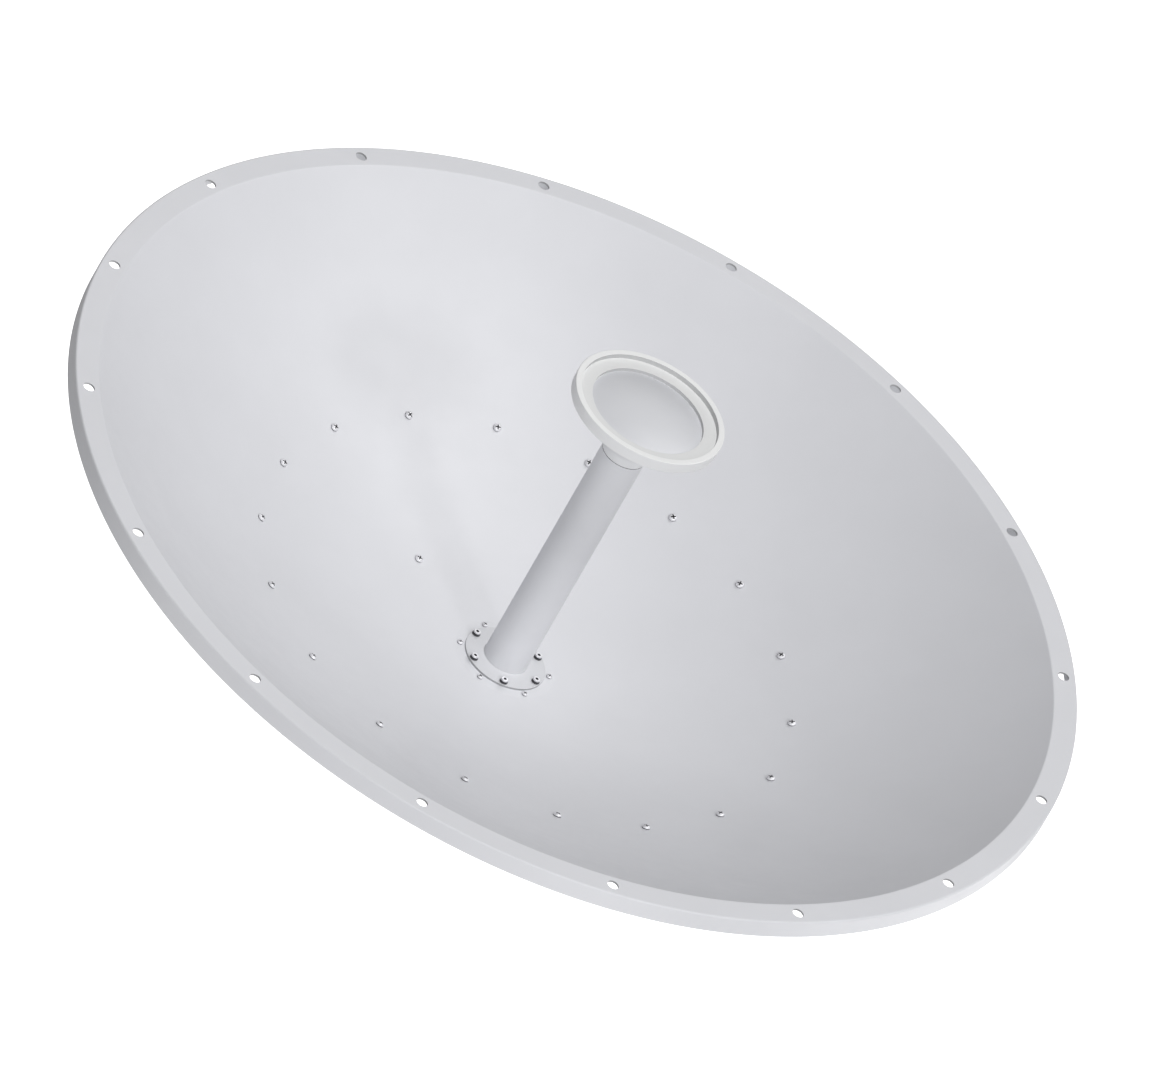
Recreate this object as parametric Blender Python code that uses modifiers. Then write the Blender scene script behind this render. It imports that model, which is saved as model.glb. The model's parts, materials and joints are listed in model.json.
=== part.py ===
"""A parabolic dish antenna on a pole mount, made from its separate pieces.

Metres, +Z up. The pole's axis is the Z axis, and the origin is on it midway between
the two U-bolts. The dish looks along -Y. Dish pieces are modelled in the dish frame:
x as in the world, y up, z forward along the dish's axis from the rim plane.
"""
import math

import bmesh
import bpy
from mathutils import Matrix, Vector

GAP = 0.0003  # clearance between pieces that touch

# reflector
RIM_R = 0.525
APERTURE_R = 0.500
BOWL_DEPTH = 0.175
SHEET = 0.002
SKIRT_DEPTH = 0.0195
RIM_EDGE = 0.0015
RIM_HOLES = 16
RIM_HOLE_CIRCLE_R = 0.5117
RIM_HOLE_R = 0.0058
PAD_R = 0.052
HUB_HOLE_R = 0.0228
DISH_STEPS = 72
INNER_RINGS = 6
OUTER_RINGS = 5
FOUR_F = APERTURE_R**2 / BOWL_DEPTH

# fasteners that show on the dish's front
RING_SCREWS = 18
RING_SCREW_CIRCLE_R = 0.279
HUB_SCREWS = 6
HUB_SCREW_CIRCLE_R = 0.0468
FLANGE_BOLTS = 6
FLANGE_BOLT_CIRCLE_R = 0.0373
GROUND_AT = (0.0435, -0.1257)
SCREW_M4_SHANK = 0.0065
SCREW_M3_SHANK = 0.0060
SCREW_HOLE = 1.3  # hole to shank
SCREW_M4 = {"head_r": 0.0040, "head_h": 0.0030, "shank_r": 0.0020}
SCREW_M3 = {"head_r": 0.0028, "head_h": 0.0023, "shank_r": 0.0015}
FLANGE_BOLT_ACROSS = 0.0070
FLANGE_BOLT_HEAD = 0.0030
FLANGE_BOLT_SHANK = 0.0095
WASHER_R = 0.0042
WASHER_T = 0.0008

# backing pan
PAN_T = 0.002
PAN_LIP_R = 0.291
PAN_LIP_IN_R = 0.267
PAN_FLAT_R = 0.212
PAN_BACK = 0.205  # from the rim plane to the pan's back face
PAN_HOLE_R = 0.075
ACCESS_HOLE_R = 0.026

# feed
TUBE_R = 0.0225
TUBE_BORE_R = 0.0200
TUBE_FRONT = 0.107
FEED_FLANGE_R = 0.042
FEED_FLANGE_T = 0.0025
FEED_WELD = 0.0020
SPIGOT_R = 0.0221
HUB_PLATE_R = 0.058
HUB_PLATE_T = 0.004
GASKET_R = 0.034
GASKET_T = 0.0012
OMT_FLANGE_R = 0.040
OMT_FLANGE_T = 0.004
OMT_SIDE = 0.050
OMT_LENGTH = 0.058
OMT_END_WALL = 0.010
PORT_V_DEPTH = 0.024
PORT_H_DEPTH = 0.042
CONNECTOR_R = 0.0079
CONNECTOR_HEX = 0.0180
CONNECTOR_HEX_HEIGHT = 0.006
CONNECTOR_LENGTH = 0.022

# feed cap and what is under it
CAP_R = 0.0778
CAP_FRONT = 0.169
CAP_WALL_DEPTH = 0.012
CAP_LIP_IN_R = 0.0716
CAP_STEP = 0.0054
CAP_DISC_R = 0.058
CAP_DISC_STEP = 0.0036
CAP_T = 0.0022
SUB_R = 0.0750
SUB_T = 0.0015
CONE_NECK_END = 0.120
CONE_R = 0.062
CONE_TAPER_END = 0.150
CONE_PLUG_R = 0.0196
CONE_PLUG_END = 0.070
CONE_PLUG_TAPER = 0.012

# earthing lug behind the dish
LUG_TONGUE_T = 0.0012
LUG_TONGUE_R = 0.0055
LUG_TONGUE_END_HALF = 0.0045
LUG_TONGUE_LENGTH = 0.018
LUG_TONGUE_STAND = 0.001

# pole mount
POLE_R = 0.030
U_ROD_R = 0.004
U_BOLT_Z = 0.075
U_LEG_FRONT = -0.066
SADDLE_HALF_HEIGHT = 0.015
SADDLE_HALF_WIDTH = 0.0297
SADDLE_WRAP = math.radians(50)
BRACKET_FRONT = -0.050
BRACKET_T = 0.005
BRACKET_HALF_WIDTH = 0.050
BRACKET_HALF_HEIGHT = 0.092
BRACKET_CORNER = 0.010
LUG_HALF_WIDTH = 0.026
LUG_T = 0.005
LUG_CORNER = 0.009
BOTTOM_LUG_REACH = 0.016
YOKE_HALF_WIDTH = 0.034
YOKE_HALF_HEIGHT = 0.0547
YOKE_SIDE_T = 0.004
YOKE_TOP_T = 0.005
YOKE_FRONT = -0.120
YOKE_REAR = -0.064
AZIMUTH_Y = -0.080
AZIMUTH_BOLT_R = 0.005
AZIMUTH_HEAD_R = 0.0092
AZIMUTH_HEAD = 0.0065
AZIMUTH_BOLT_BELOW = 0.012
AZIMUTH_LOCK_LENGTH = 0.018
AZIMUTH_LOCK_ARM = 0.026
AZIMUTH_RANGE = math.radians(10)
ELEVATION_Y = -0.108
ELEVATION_Z = -0.030
ELEVATION_LOCK_ARM = 0.060
ELEVATION_DOWN = math.radians(10)
ELEVATION_UP = math.radians(20)
BOLT_M8_R = 0.004
M8_HEAD_R = 0.0075
M8_HEAD = 0.0055
ELEVATION_BOLT_LENGTH = 0.020
HOLE_PLAY = 0.0006
EAR_T = 0.004
EAR_GAP = 0.0005
EAR_MARGIN = 0.0105
EAR_BOSS_R = 0.0135
EAR_TOP_MARGIN = 0.012
EAR_CORNER = 0.004
EAR_NOTCH = 0.022
WELD_OVERLAP = 0.002
TILT_PLATE_BACK = -0.155
TILT_PLATE_T = 0.005
TILT_PLATE_X = (-0.050, 0.085)
TILT_PLATE_Z = (-0.070, 0.075)
TILT_PLATE_CORNER = 0.020

# where the dish's axis is, and the rim plane
DISH_X = 0.130
DISH_Z = 0.090
RIM_Y = TILT_PLATE_BACK - TILT_PLATE_T - GAP - PAN_BACK

# radio bracket, in the dish frame
RADIO_X = 0.130
RADIO_HALF_WIDTH = 0.030
RADIO_FOOT = 0.016
RADIO_HALF_HEIGHT = 0.060
RADIO_STAND = 0.018
RADIO_T = 0.0025


for old in list(bpy.data.objects):
    bpy.data.objects.remove(old, do_unlink=True)
PARTS = bpy.data.collections.new("dish_antenna")
CUTTERS = bpy.data.collections.new("cutters")
for group in (PARTS, CUTTERS):
    bpy.context.scene.collection.children.link(group)
WORLD_OF = {}


def material(name, colour, roughness, metallic):
    made = bpy.data.materials.new(name)
    made.use_nodes = True
    shader = made.node_tree.nodes["Principled BSDF"]
    shader.inputs["Base Color"].default_value = (*colour, 1)
    shader.inputs["Roughness"].default_value = roughness
    shader.inputs["Metallic"].default_value = metallic
    return made


WHITE_PAINT = material("white_paint", (0.76, 0.76, 0.79), 0.45, 0.0)
PAN_PAINT = material("pan_paint", (0.66, 0.66, 0.69), 0.5, 0.0)
TUBE_METAL = material("tube_metal", (0.62, 0.63, 0.66), 0.4, 0.6)
CAP_PLASTIC = material("cap_plastic", (0.80, 0.80, 0.79), 0.5, 0.0)
DIELECTRIC = material("dielectric", (0.86, 0.86, 0.85), 0.35, 0.0)
SCREW_STEEL = material("screw_steel", (0.50, 0.50, 0.52), 0.3, 1.0)
BOLT_STEEL = material("bolt_steel", (0.34, 0.34, 0.36), 0.35, 1.0)
GALVANISED = material("galvanised", (0.58, 0.60, 0.62), 0.5, 0.9)
ALUMINIUM = material("cast_aluminium", (0.66, 0.67, 0.69), 0.45, 0.9)
BRASS = material("connector_plating", (0.70, 0.66, 0.55), 0.3, 1.0)
RUBBER = material("rubber", (0.03, 0.03, 0.03), 0.8, 0.0)


def attach(obj, world, parent=None):
    """Places an object at a world matrix, under its parent."""
    obj.parent = parent
    above = WORLD_OF[parent.name] if parent else Matrix()
    obj.matrix_basis = above.inverted() @ world
    WORLD_OF[obj.name] = world


def axis_empty(name, world, parent=None):
    empty = bpy.data.objects.new(name, None)
    PARTS.objects.link(empty)
    attach(empty, world, parent)
    return empty


def part(name, mesh, look, world, parent=None):
    obj = bpy.data.objects.new(name, mesh)
    PARTS.objects.link(obj)
    if not mesh.materials:
        mesh.materials.append(look)
    attach(obj, world, parent)
    return obj


def helper(name, mesh, world, parent=None):
    """A cutter, or a shape that is joined to a part: never rendered."""
    obj = bpy.data.objects.new(name, mesh)
    CUTTERS.objects.link(obj)
    obj.hide_render = True
    obj.display_type = "WIRE"
    attach(obj, world, parent)
    return obj


def boolean(obj, other, operation="DIFFERENCE"):
    modifier = obj.modifiers.new(f"{operation.lower()}_{other.name}", "BOOLEAN")
    modifier.operation = operation
    modifier.solver = "EXACT"
    modifier.object = other


def profile_mesh(name, profile):
    """A line of points (r, z) in the XZ plane, closed into a loop unless it ends on the axis."""
    mesh = bpy.data.meshes.new(name)
    count = len(profile)
    edges = [(i, i + 1) for i in range(count - 1)]
    if profile[-1][0] > 0:
        edges.append((count - 1, 0))
    mesh.from_pydata([(r, 0, z) for r, z in profile], edges, [])
    return mesh


def add_screw(obj, steps):
    turn = obj.modifiers.new("turn", "SCREW")
    turn.axis = "Z"
    turn.angle = math.tau
    turn.steps = steps
    turn.render_steps = steps
    turn.use_merge_vertices = True
    turn.merge_threshold = 0.00001
    turn.use_smooth_shade = True


def turned(name, profile, steps, look, world, parent=None):
    """A turned part: its profile runs down the outer side, then back up the inner side."""
    obj = part(name, profile_mesh(name, profile), look, world, parent)
    add_screw(obj, steps)
    return obj


def finished_mesh(bm, name):
    bmesh.ops.recalc_face_normals(bm, faces=bm.faces)
    mesh = bpy.data.meshes.new(name)
    bm.to_mesh(mesh)
    bm.free()
    mesh.shade_smooth()
    mesh.set_sharp_from_angle(angle=math.radians(35))
    return mesh


def rods_mesh(name, rods):
    """Closed cylinders (matrix of the middle, radius, length, sides), apart from each other."""
    bm = bmesh.new()
    for matrix, radius, length, sides in rods:
        bmesh.ops.create_cone(
            bm, cap_ends=True, segments=sides, radius1=radius, radius2=radius,
            depth=length, matrix=matrix,
        )
    return finished_mesh(bm, name)


def box_mesh(name, low, high):
    bm = bmesh.new()
    size = Vector(high) - Vector(low)
    middle = (Vector(high) + Vector(low)) / 2
    place = Matrix.Translation(middle) @ Matrix.Diagonal((*size, 1))
    bmesh.ops.create_cube(bm, size=1, matrix=place)
    return finished_mesh(bm, name)


def flat_mesh(name, outlines, thickness):
    """A flat outline in the XY plane with holes, as thick as stated, centred on z = 0."""
    curve = bpy.data.curves.new(name, "CURVE")
    curve.dimensions = "2D"
    curve.fill_mode = "BOTH"
    curve.extrude = thickness / 2
    for points in outlines:
        spline = curve.splines.new("POLY")
        spline.points.add(len(points) - 1)
        for point, (x, y) in zip(spline.points, points):
            point.co = (x, y, 0, 1)
        spline.use_cyclic_u = True
    obj = bpy.data.objects.new(name, curve)
    CUTTERS.objects.link(obj)
    bpy.context.view_layer.update()
    graph = bpy.context.evaluated_depsgraph_get()
    mesh = bpy.data.meshes.new_from_object(obj.evaluated_get(graph))
    bpy.data.objects.remove(obj, do_unlink=True)
    bm = bmesh.new()
    bm.from_mesh(mesh)
    bmesh.ops.remove_doubles(bm, verts=bm.verts, dist=0.000001)
    bpy.data.meshes.remove(mesh)
    return finished_mesh(bm, name)


def arc(centre, radius, start, end, steps):
    """Points from one angle to another, both included; 0 is along x, in radians."""
    angles = [start + (end - start) * i / steps for i in range(steps + 1)]
    return [(centre[0] + radius * math.cos(a), centre[1] + radius * math.sin(a)) for a in angles]


def circle(centre, radius, steps):
    return arc(centre, radius, 0, math.tau, steps)[:-1]


def arc_slot(centre, arm, half_width, start, end, steps):
    """A curved slot round a centre, with round ends."""
    def at(angle):
        return (centre[0] + arm * math.cos(angle), centre[1] + arm * math.sin(angle))

    outer = arc(centre, arm + half_width, start, end, steps)
    far_end = arc(at(end), half_width, end, end + math.pi, steps)
    inner = arc(centre, arm - half_width, end, start, steps)
    near_end = arc(at(start), half_width, start + math.pi, start + math.tau, steps)
    return outer + far_end[1:-1] + inner + near_end[1:-1]


def rounded_box(low, high, radius, steps=3):
    """A rectangle with round corners, anticlockwise."""
    corners = (
        ((high[0] - radius, low[1] + radius), -0.25),
        ((high[0] - radius, high[1] - radius), 0.0),
        ((low[0] + radius, high[1] - radius), 0.25),
        ((low[0] + radius, low[1] + radius), 0.5),
    )
    points = []
    for centre, turn in corners:
        points += arc(centre, radius, turn * math.tau, (turn + 0.25) * math.tau, steps)
    return points


def bowl_z(r):
    """Height of the bowl's front surface over the rim plane."""
    return max(r, PAD_R) ** 2 / FOUR_F - BOWL_DEPTH


def bowl_slope(r):
    return 2 * r / FOUR_F if r > PAD_R else 0.0


def bowl_point(r, behind):
    """A point (r, z) this far behind the bowl's front surface, along its normal."""
    slope = bowl_slope(r)
    length = math.hypot(1, slope)
    return (r + behind * slope / length, bowl_z(r) - behind / length)


def bowl_radii():
    inner = [
        PAD_R + (RING_SCREW_CIRCLE_R - PAD_R) * i / INNER_RINGS for i in range(INNER_RINGS)
    ]
    outer = [
        RING_SCREW_CIRCLE_R + (APERTURE_R - RING_SCREW_CIRCLE_R) * i / OUTER_RINGS
        for i in range(OUTER_RINGS + 1)
    ]
    return inner + outer


def on_circle(radius, index, count, offset=0.0):
    """(x, y) in the dish frame, counted from straight down."""
    angle = math.tau * (index + offset) / count
    return (radius * math.sin(angle), -radius * math.cos(angle))


def seat(x, y, lift=0.0):
    """Dish-frame matrix on the bowl's front surface, its z along the surface normal."""
    r = math.hypot(x, y)
    slope = bowl_slope(r)
    normal = Vector((-slope * x / r, -slope * y / r, 1)).normalized()
    turn = Vector((0, 0, 1)).rotation_difference(normal).to_matrix().to_4x4()
    point = Vector((x, y, bowl_z(r))) + normal * lift
    return Matrix.Translation(point) @ turn


ring_places = [seat(*on_circle(RING_SCREW_CIRCLE_R, i, RING_SCREWS)) for i in range(RING_SCREWS)]
hub_places = [seat(*on_circle(HUB_SCREW_CIRCLE_R, i, HUB_SCREWS)) for i in range(HUB_SCREWS)]
bolt_places = [
    seat(*on_circle(FLANGE_BOLT_CIRCLE_R, i, FLANGE_BOLTS, 0.5), lift=FEED_FLANGE_T + GAP)
    for i in range(FLANGE_BOLTS)
]
ground_place = seat(*GROUND_AT, lift=GAP)

# the joint axes
azimuth_axis = axis_empty("azimuth_axis", Matrix.Translation((0, AZIMUTH_Y, 0)))
elevation_axis = axis_empty(
    "elevation_axis", Matrix.Translation((0, ELEVATION_Y, ELEVATION_Z)), azimuth_axis
)
DISH = Matrix.Translation((DISH_X, RIM_Y, DISH_Z)) @ Matrix.Rotation(math.pi / 2, 4, "X")
dish_axis = axis_empty("dish_axis", DISH, elevation_axis)


def dish_holes():
    """One cutter for the fastener holes, and one for the holes in the rim."""
    through = 0.030
    m4 = SCREW_M4["shank_r"] * SCREW_HOLE
    m3 = SCREW_M3["shank_r"] * SCREW_HOLE
    rods = [(place, m4, through, 6) for place in (*ring_places, *bolt_places, ground_place)]
    rods += [(place, m3, through, 6) for place in hub_places]
    fastener = helper("fastener_holes", rods_mesh("fastener_holes", rods), DISH, dish_axis)
    rods = []
    for i in range(RIM_HOLES):
        x, y = on_circle(RIM_HOLE_CIRCLE_R, i, RIM_HOLES)
        rods.append((Matrix.Translation((x, y, 0)), RIM_HOLE_R, through, 10))
    rim = helper("rim_holes", rods_mesh("rim_holes", rods), DISH, dish_axis)
    return fastener, rim


FASTENER_HOLES, RIM_CUTTER = dish_holes()


def make_reflector():
    radii = bowl_radii()
    front = [(r, bowl_z(r)) for r in radii]
    back = [bowl_point(r, SHEET) for r in reversed(radii[1:-1])]
    pad_z = bowl_z(0)
    profile = [
        (RIM_R - RIM_EDGE, 0),
        (RIM_R, -RIM_EDGE),
        (RIM_R, -SKIRT_DEPTH),
        (RIM_R - SHEET, -SKIRT_DEPTH),
        (RIM_R - SHEET, -SHEET),
        (APERTURE_R + SHEET / 2, -SHEET),
        *back,
        (PAD_R, pad_z - SHEET),
        (HUB_HOLE_R, pad_z - SHEET),
        (HUB_HOLE_R, pad_z),
        *front,
    ]
    reflector = turned("reflector", profile, DISH_STEPS, WHITE_PAINT, DISH, dish_axis)
    boolean(reflector, FASTENER_HOLES)
    boolean(reflector, RIM_CUTTER)


def make_back_pan():
    first = SHEET + GAP
    lip_radii = (PAN_LIP_R, RING_SCREW_CIRCLE_R, PAN_LIP_IN_R)
    against_bowl = [bowl_point(r, first) for r in reversed(lip_radii)]
    behind = [bowl_point(r, first + PAN_T) for r in lip_radii]
    profile = [
        *behind,
        (PAN_FLAT_R, -PAN_BACK),
        (PAN_HOLE_R, -PAN_BACK),
        (PAN_HOLE_R, -PAN_BACK + PAN_T),
        (PAN_FLAT_R - PAN_T / 2, -PAN_BACK + PAN_T),
        *against_bowl,
    ]
    pan = turned("back_pan", profile, DISH_STEPS, PAN_PAINT, DISH, dish_axis)
    boolean(pan, FASTENER_HOLES)
    access = rods_mesh(
        "access_hole", [(Matrix.Translation((*GROUND_AT, -PAN_BACK)), ACCESS_HOLE_R, 0.01, 20)]
    )
    boolean(pan, helper("access_hole", access, DISH, dish_axis))


def screw_profile(head_r, head_h, shank_r, shank):
    """A pan-head screw standing on z = 0 by one gap."""
    return [
        (0, head_h),
        (0.72 * head_r, 0.80 * head_h),
        (head_r, 0.30 * head_h),
        (head_r, GAP),
        (shank_r, GAP),
        (shank_r, -shank),
        (0, -shank),
    ]


def make_front_screws():
    sides = 8
    m4 = profile_mesh("screw_m4", screw_profile(**SCREW_M4, shank=SCREW_M4_SHANK))
    m3 = profile_mesh("screw_m3", screw_profile(**SCREW_M3, shank=SCREW_M3_SHANK))
    for i, place in enumerate(ring_places):
        add_screw(part(f"ring_screw_{i + 1:02d}", m4, SCREW_STEEL, DISH @ place, dish_axis), sides)
    for i, place in enumerate(hub_places):
        add_screw(part(f"hub_screw_{i + 1}", m3, SCREW_STEEL, DISH @ place, dish_axis), sides)
    add_screw(part("ground_screw", m4, SCREW_STEEL, DISH @ ground_place, dish_axis), sides)


def make_flange_bolts():
    """Hexagon bolts that hold the feed's flange, each with its washer in one piece."""
    head_r = FLANGE_BOLT_ACROSS / math.sqrt(3)
    top = GAP + WASHER_T + FLANGE_BOLT_HEAD
    inside = GAP + WASHER_T / 2
    end = -FLANGE_BOLT_SHANK
    washer = [(Matrix.Translation((0, 0, inside)), WASHER_R, WASHER_T, 12)]
    head = [(Matrix.Translation((0, 0, (top + inside) / 2)), head_r, top - inside, 6)]
    rod = [(Matrix.Translation((0, 0, (inside + end) / 2)), SCREW_M4["shank_r"], inside - end, 8)]
    for i, place in enumerate(bolt_places):
        name = f"flange_bolt_{i + 1}"
        bolt_obj = part(name, rods_mesh(name, washer), BOLT_STEEL, DISH @ place, dish_axis)
        for added, rods in (("head", head), ("rod", rod)):
            mesh = rods_mesh(f"{name}_{added}", rods)
            boolean(bolt_obj, helper(mesh.name, mesh, DISH @ place, dish_axis), "UNION")


def make_hub():
    """The ring behind the dish, the gasket and the transducer with its two connectors."""
    steps = 36
    front = bowl_z(0) - SHEET - GAP
    back = front - HUB_PLATE_T
    ring = [(HUB_PLATE_R, front), (HUB_PLATE_R, back), (HUB_HOLE_R, back), (HUB_HOLE_R, front)]
    hub_plate = turned("hub_plate", ring, steps, GALVANISED, DISH, dish_axis)
    boolean(hub_plate, FASTENER_HOLES)

    seal = back - 2 * GAP
    ring = [
        (GASKET_R, seal), (GASKET_R, seal - GASKET_T),
        (TUBE_BORE_R + GAP, seal - GASKET_T), (TUBE_BORE_R + GAP, seal),
    ]
    turned("feed_gasket", ring, steps, RUBBER, DISH, dish_axis)

    face = seal - GASKET_T - GAP
    behind = face - OMT_FLANGE_T
    disc = [(0, face), (OMT_FLANGE_R, face), (OMT_FLANGE_R, behind), (0, behind)]
    omt = turned("orthomode_transducer", disc, steps, ALUMINIUM, DISH, dish_axis)
    half = OMT_SIDE / 2
    block = box_mesh(
        "transducer_block",
        (-half, -half, face - OMT_LENGTH),
        (half, half, face - OMT_FLANGE_T / 2),
    )
    boolean(omt, helper("transducer_block", block, DISH, dish_axis), "UNION")
    bore_end = face - OMT_LENGTH + OMT_END_WALL
    mouth = face + 0.001
    bore_middle = Matrix.Translation((0, 0, (mouth + bore_end) / 2))
    bore = rods_mesh("transducer_bore", [(bore_middle, TUBE_BORE_R, mouth - bore_end, 24)])
    boolean(omt, helper("transducer_bore", bore, DISH, dish_axis))

    ports = (
        ("rf_connector_v", Vector((0, -1, 0)), face - PORT_V_DEPTH),
        ("rf_connector_h", Vector((1, 0, 0)), face - PORT_H_DEPTH),
    )
    inside = CONNECTOR_HEX_HEIGHT / 2
    hexagon = [(
        Matrix.Translation((0, 0, inside)), CONNECTOR_HEX / math.sqrt(3), CONNECTOR_HEX_HEIGHT, 6,
    )]
    barrel = [(
        Matrix.Translation((0, 0, (inside + CONNECTOR_LENGTH) / 2)),
        CONNECTOR_R, CONNECTOR_LENGTH - inside, 16,
    )]
    for name, way, z in ports:
        turn = Vector((0, 0, 1)).rotation_difference(way).to_matrix().to_4x4()
        place = DISH @ Matrix.Translation(way * (half + GAP) + Vector((0, 0, z))) @ turn
        connector = part(name, rods_mesh(name, hexagon), BRASS, place, dish_axis)
        mesh = rods_mesh(f"{name}_barrel", barrel)
        boolean(connector, helper(mesh.name, mesh, place, dish_axis), "UNION")


def make_feed_tube():
    seat_z = bowl_z(0) + GAP
    face = seat_z + FEED_FLANGE_T
    end = bowl_z(0) - SHEET - GAP - HUB_PLATE_T - GAP
    profile = [
        (TUBE_R, TUBE_FRONT - GAP),
        (TUBE_R, face + FEED_WELD),
        (TUBE_R + FEED_WELD, face),
        (FEED_FLANGE_R, face),
        (FEED_FLANGE_R, seat_z),
        (SPIGOT_R, seat_z),
        (SPIGOT_R, end),
        (TUBE_BORE_R, end),
        (TUBE_BORE_R, TUBE_FRONT - GAP),
    ]
    tube = turned("feed_tube", profile, 36, TUBE_METAL, DISH, dish_axis)
    boolean(tube, FASTENER_HOLES)


def make_feed_head():
    """The dielectric cone, the sub-reflector on it and the cap over both."""
    cap_back = CAP_FRONT - CAP_WALL_DEPTH
    floor = CAP_FRONT - CAP_STEP
    disc = floor - CAP_DISC_STEP
    under = disc - CAP_T + GAP
    inner_r = CAP_R - CAP_T
    profile = [
        (0, disc),
        (CAP_DISC_R, disc),
        (CAP_DISC_R, floor),
        (CAP_LIP_IN_R, floor),
        (CAP_LIP_IN_R, CAP_FRONT),
        (CAP_R, CAP_FRONT),
        (CAP_R, cap_back),
        (inner_r, cap_back),
        (inner_r, floor - CAP_T),
        (CAP_DISC_R + CAP_T, floor - CAP_T),
        (CAP_DISC_R + CAP_T, under),
        (0, under),
    ]
    turned("feed_cap", profile, 48, CAP_PLASTIC, DISH, dish_axis)

    top = under - GAP
    low = top - SUB_T
    profile = [(0, top), (CAP_DISC_R, top), (SUB_R, top - GAP), (SUB_R, low), (0, low)]
    turned("sub_reflector", profile, 36, ALUMINIUM, DISH, dish_axis)

    cone_top = low - GAP
    profile = [
        (0, cone_top),
        (CONE_R, cone_top),
        (CONE_R, CONE_TAPER_END),
        (TUBE_R, CONE_NECK_END),
        (TUBE_R, TUBE_FRONT),
        (CONE_PLUG_R, TUBE_FRONT),
        (CONE_PLUG_R, CONE_PLUG_END + CONE_PLUG_TAPER),
        (CONE_PLUG_R / 3, CONE_PLUG_END),
        (0, CONE_PLUG_END),
    ]
    turned("dielectric_cone", profile, 36, DIELECTRIC, DISH, dish_axis)


def make_ground_lug():
    """A ring tongue behind the dish, on the earthing screw."""
    depth = SHEET + GAP + LUG_TONGUE_STAND + LUG_TONGUE_T / 2
    end = -LUG_TONGUE_LENGTH
    half = LUG_TONGUE_END_HALF
    outline = arc((0, 0), LUG_TONGUE_R, 0.0, math.pi, 6) + [(-half, end), (half, end)]
    hole = circle((0, 0), SCREW_M4["shank_r"] * SCREW_HOLE, 8)
    mesh = flat_mesh("ground_lug", [outline, hole], LUG_TONGUE_T)
    place = DISH @ ground_place @ Matrix.Translation((0, 0, -depth))
    part("ground_lug", mesh, BRASS, place, dish_axis)


def make_radio_bracket():
    """A hat-section strip: two feet on the pan and a raised flat face for the radio."""
    base = PAN_BACK + GAP
    half = RADIO_HALF_WIDTH
    rise = RADIO_STAND
    t = RADIO_T
    outline = [
        (-half - RADIO_FOOT, 0), (-half, 0), (-half, rise - t), (half, rise - t), (half, 0),
        (half + RADIO_FOOT, 0), (half + RADIO_FOOT, t), (half + t, t), (half + t, rise),
        (-half - t, rise), (-half - t, t), (-half - RADIO_FOOT, t),
    ]
    mesh = flat_mesh("radio_bracket", [outline], 2 * RADIO_HALF_HEIGHT)
    # outline x stays x, outline y becomes the way back from the pan
    turn = Matrix(((1, 0, 0, 0), (0, 0, 1, 0), (0, -1, 0, 0), (0, 0, 0, 1)))
    place = DISH @ Matrix.Translation((RADIO_X, 0, -base)) @ turn
    part("radio_bracket", mesh, GALVANISED, place, dish_axis)


# flat outlines of the mount that stand in YZ or lie in XY
SIDEWAYS = Matrix(((0, 0, 1, 0), (1, 0, 0, 0), (0, 1, 0, 0), (0, 0, 0, 1)))
UPRIGHT = Matrix(((1, 0, 0, 0), (0, 0, -1, 0), (0, 1, 0, 0), (0, 0, 0, 1)))


def make_elevation_bracket():
    """A plate on the pan with two ears; each has a pivot hole and a curved slot."""
    pivot = (ELEVATION_Y, ELEVATION_Z)
    up = math.pi / 2
    hole_r = BOLT_M8_R + HOLE_PLAY
    plate_front = TILT_PLATE_BACK - TILT_PLATE_T
    rear = ELEVATION_Y + ELEVATION_LOCK_ARM * math.sin(ELEVATION_DOWN) + EAR_MARGIN
    top = ELEVATION_Z + ELEVATION_LOCK_ARM + EAR_TOP_MARGIN
    root = TILT_PLATE_BACK - WELD_OVERLAP
    outline = [
        (root, ELEVATION_Z - EAR_BOSS_R),
        *arc(pivot, EAR_BOSS_R, -up, 0, 4),
        (rear, top - EAR_NOTCH),
        (rear, top - EAR_CORNER),
        (rear - EAR_CORNER, top),
        (root, top),
    ]
    slot = arc_slot(
        pivot, ELEVATION_LOCK_ARM, hole_r, up - ELEVATION_DOWN, up + ELEVATION_UP, 5
    )
    ear_middle = YOKE_HALF_WIDTH + EAR_GAP + EAR_T / 2
    low = (TILT_PLATE_X[0], TILT_PLATE_Z[0])
    high = (TILT_PLATE_X[1], TILT_PLATE_Z[1])
    plate = flat_mesh(
        "elevation_bracket", [rounded_box(low, high, TILT_PLATE_CORNER)], TILT_PLATE_T
    )
    place = Matrix.Translation((0, (TILT_PLATE_BACK + plate_front) / 2, 0)) @ UPRIGHT
    bracket = part("elevation_bracket", plate, GALVANISED, place, elevation_axis)
    for side, name in ((-1, "ear_left"), (1, "ear_right")):
        mesh = flat_mesh(name, [outline, circle(pivot, hole_r, 12), slot], EAR_T)
        stand = Matrix.Translation((side * ear_middle, 0, 0)) @ SIDEWAYS
        ear = helper(name, mesh, stand, elevation_axis)
        boolean(bracket, ear, "UNION")


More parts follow.
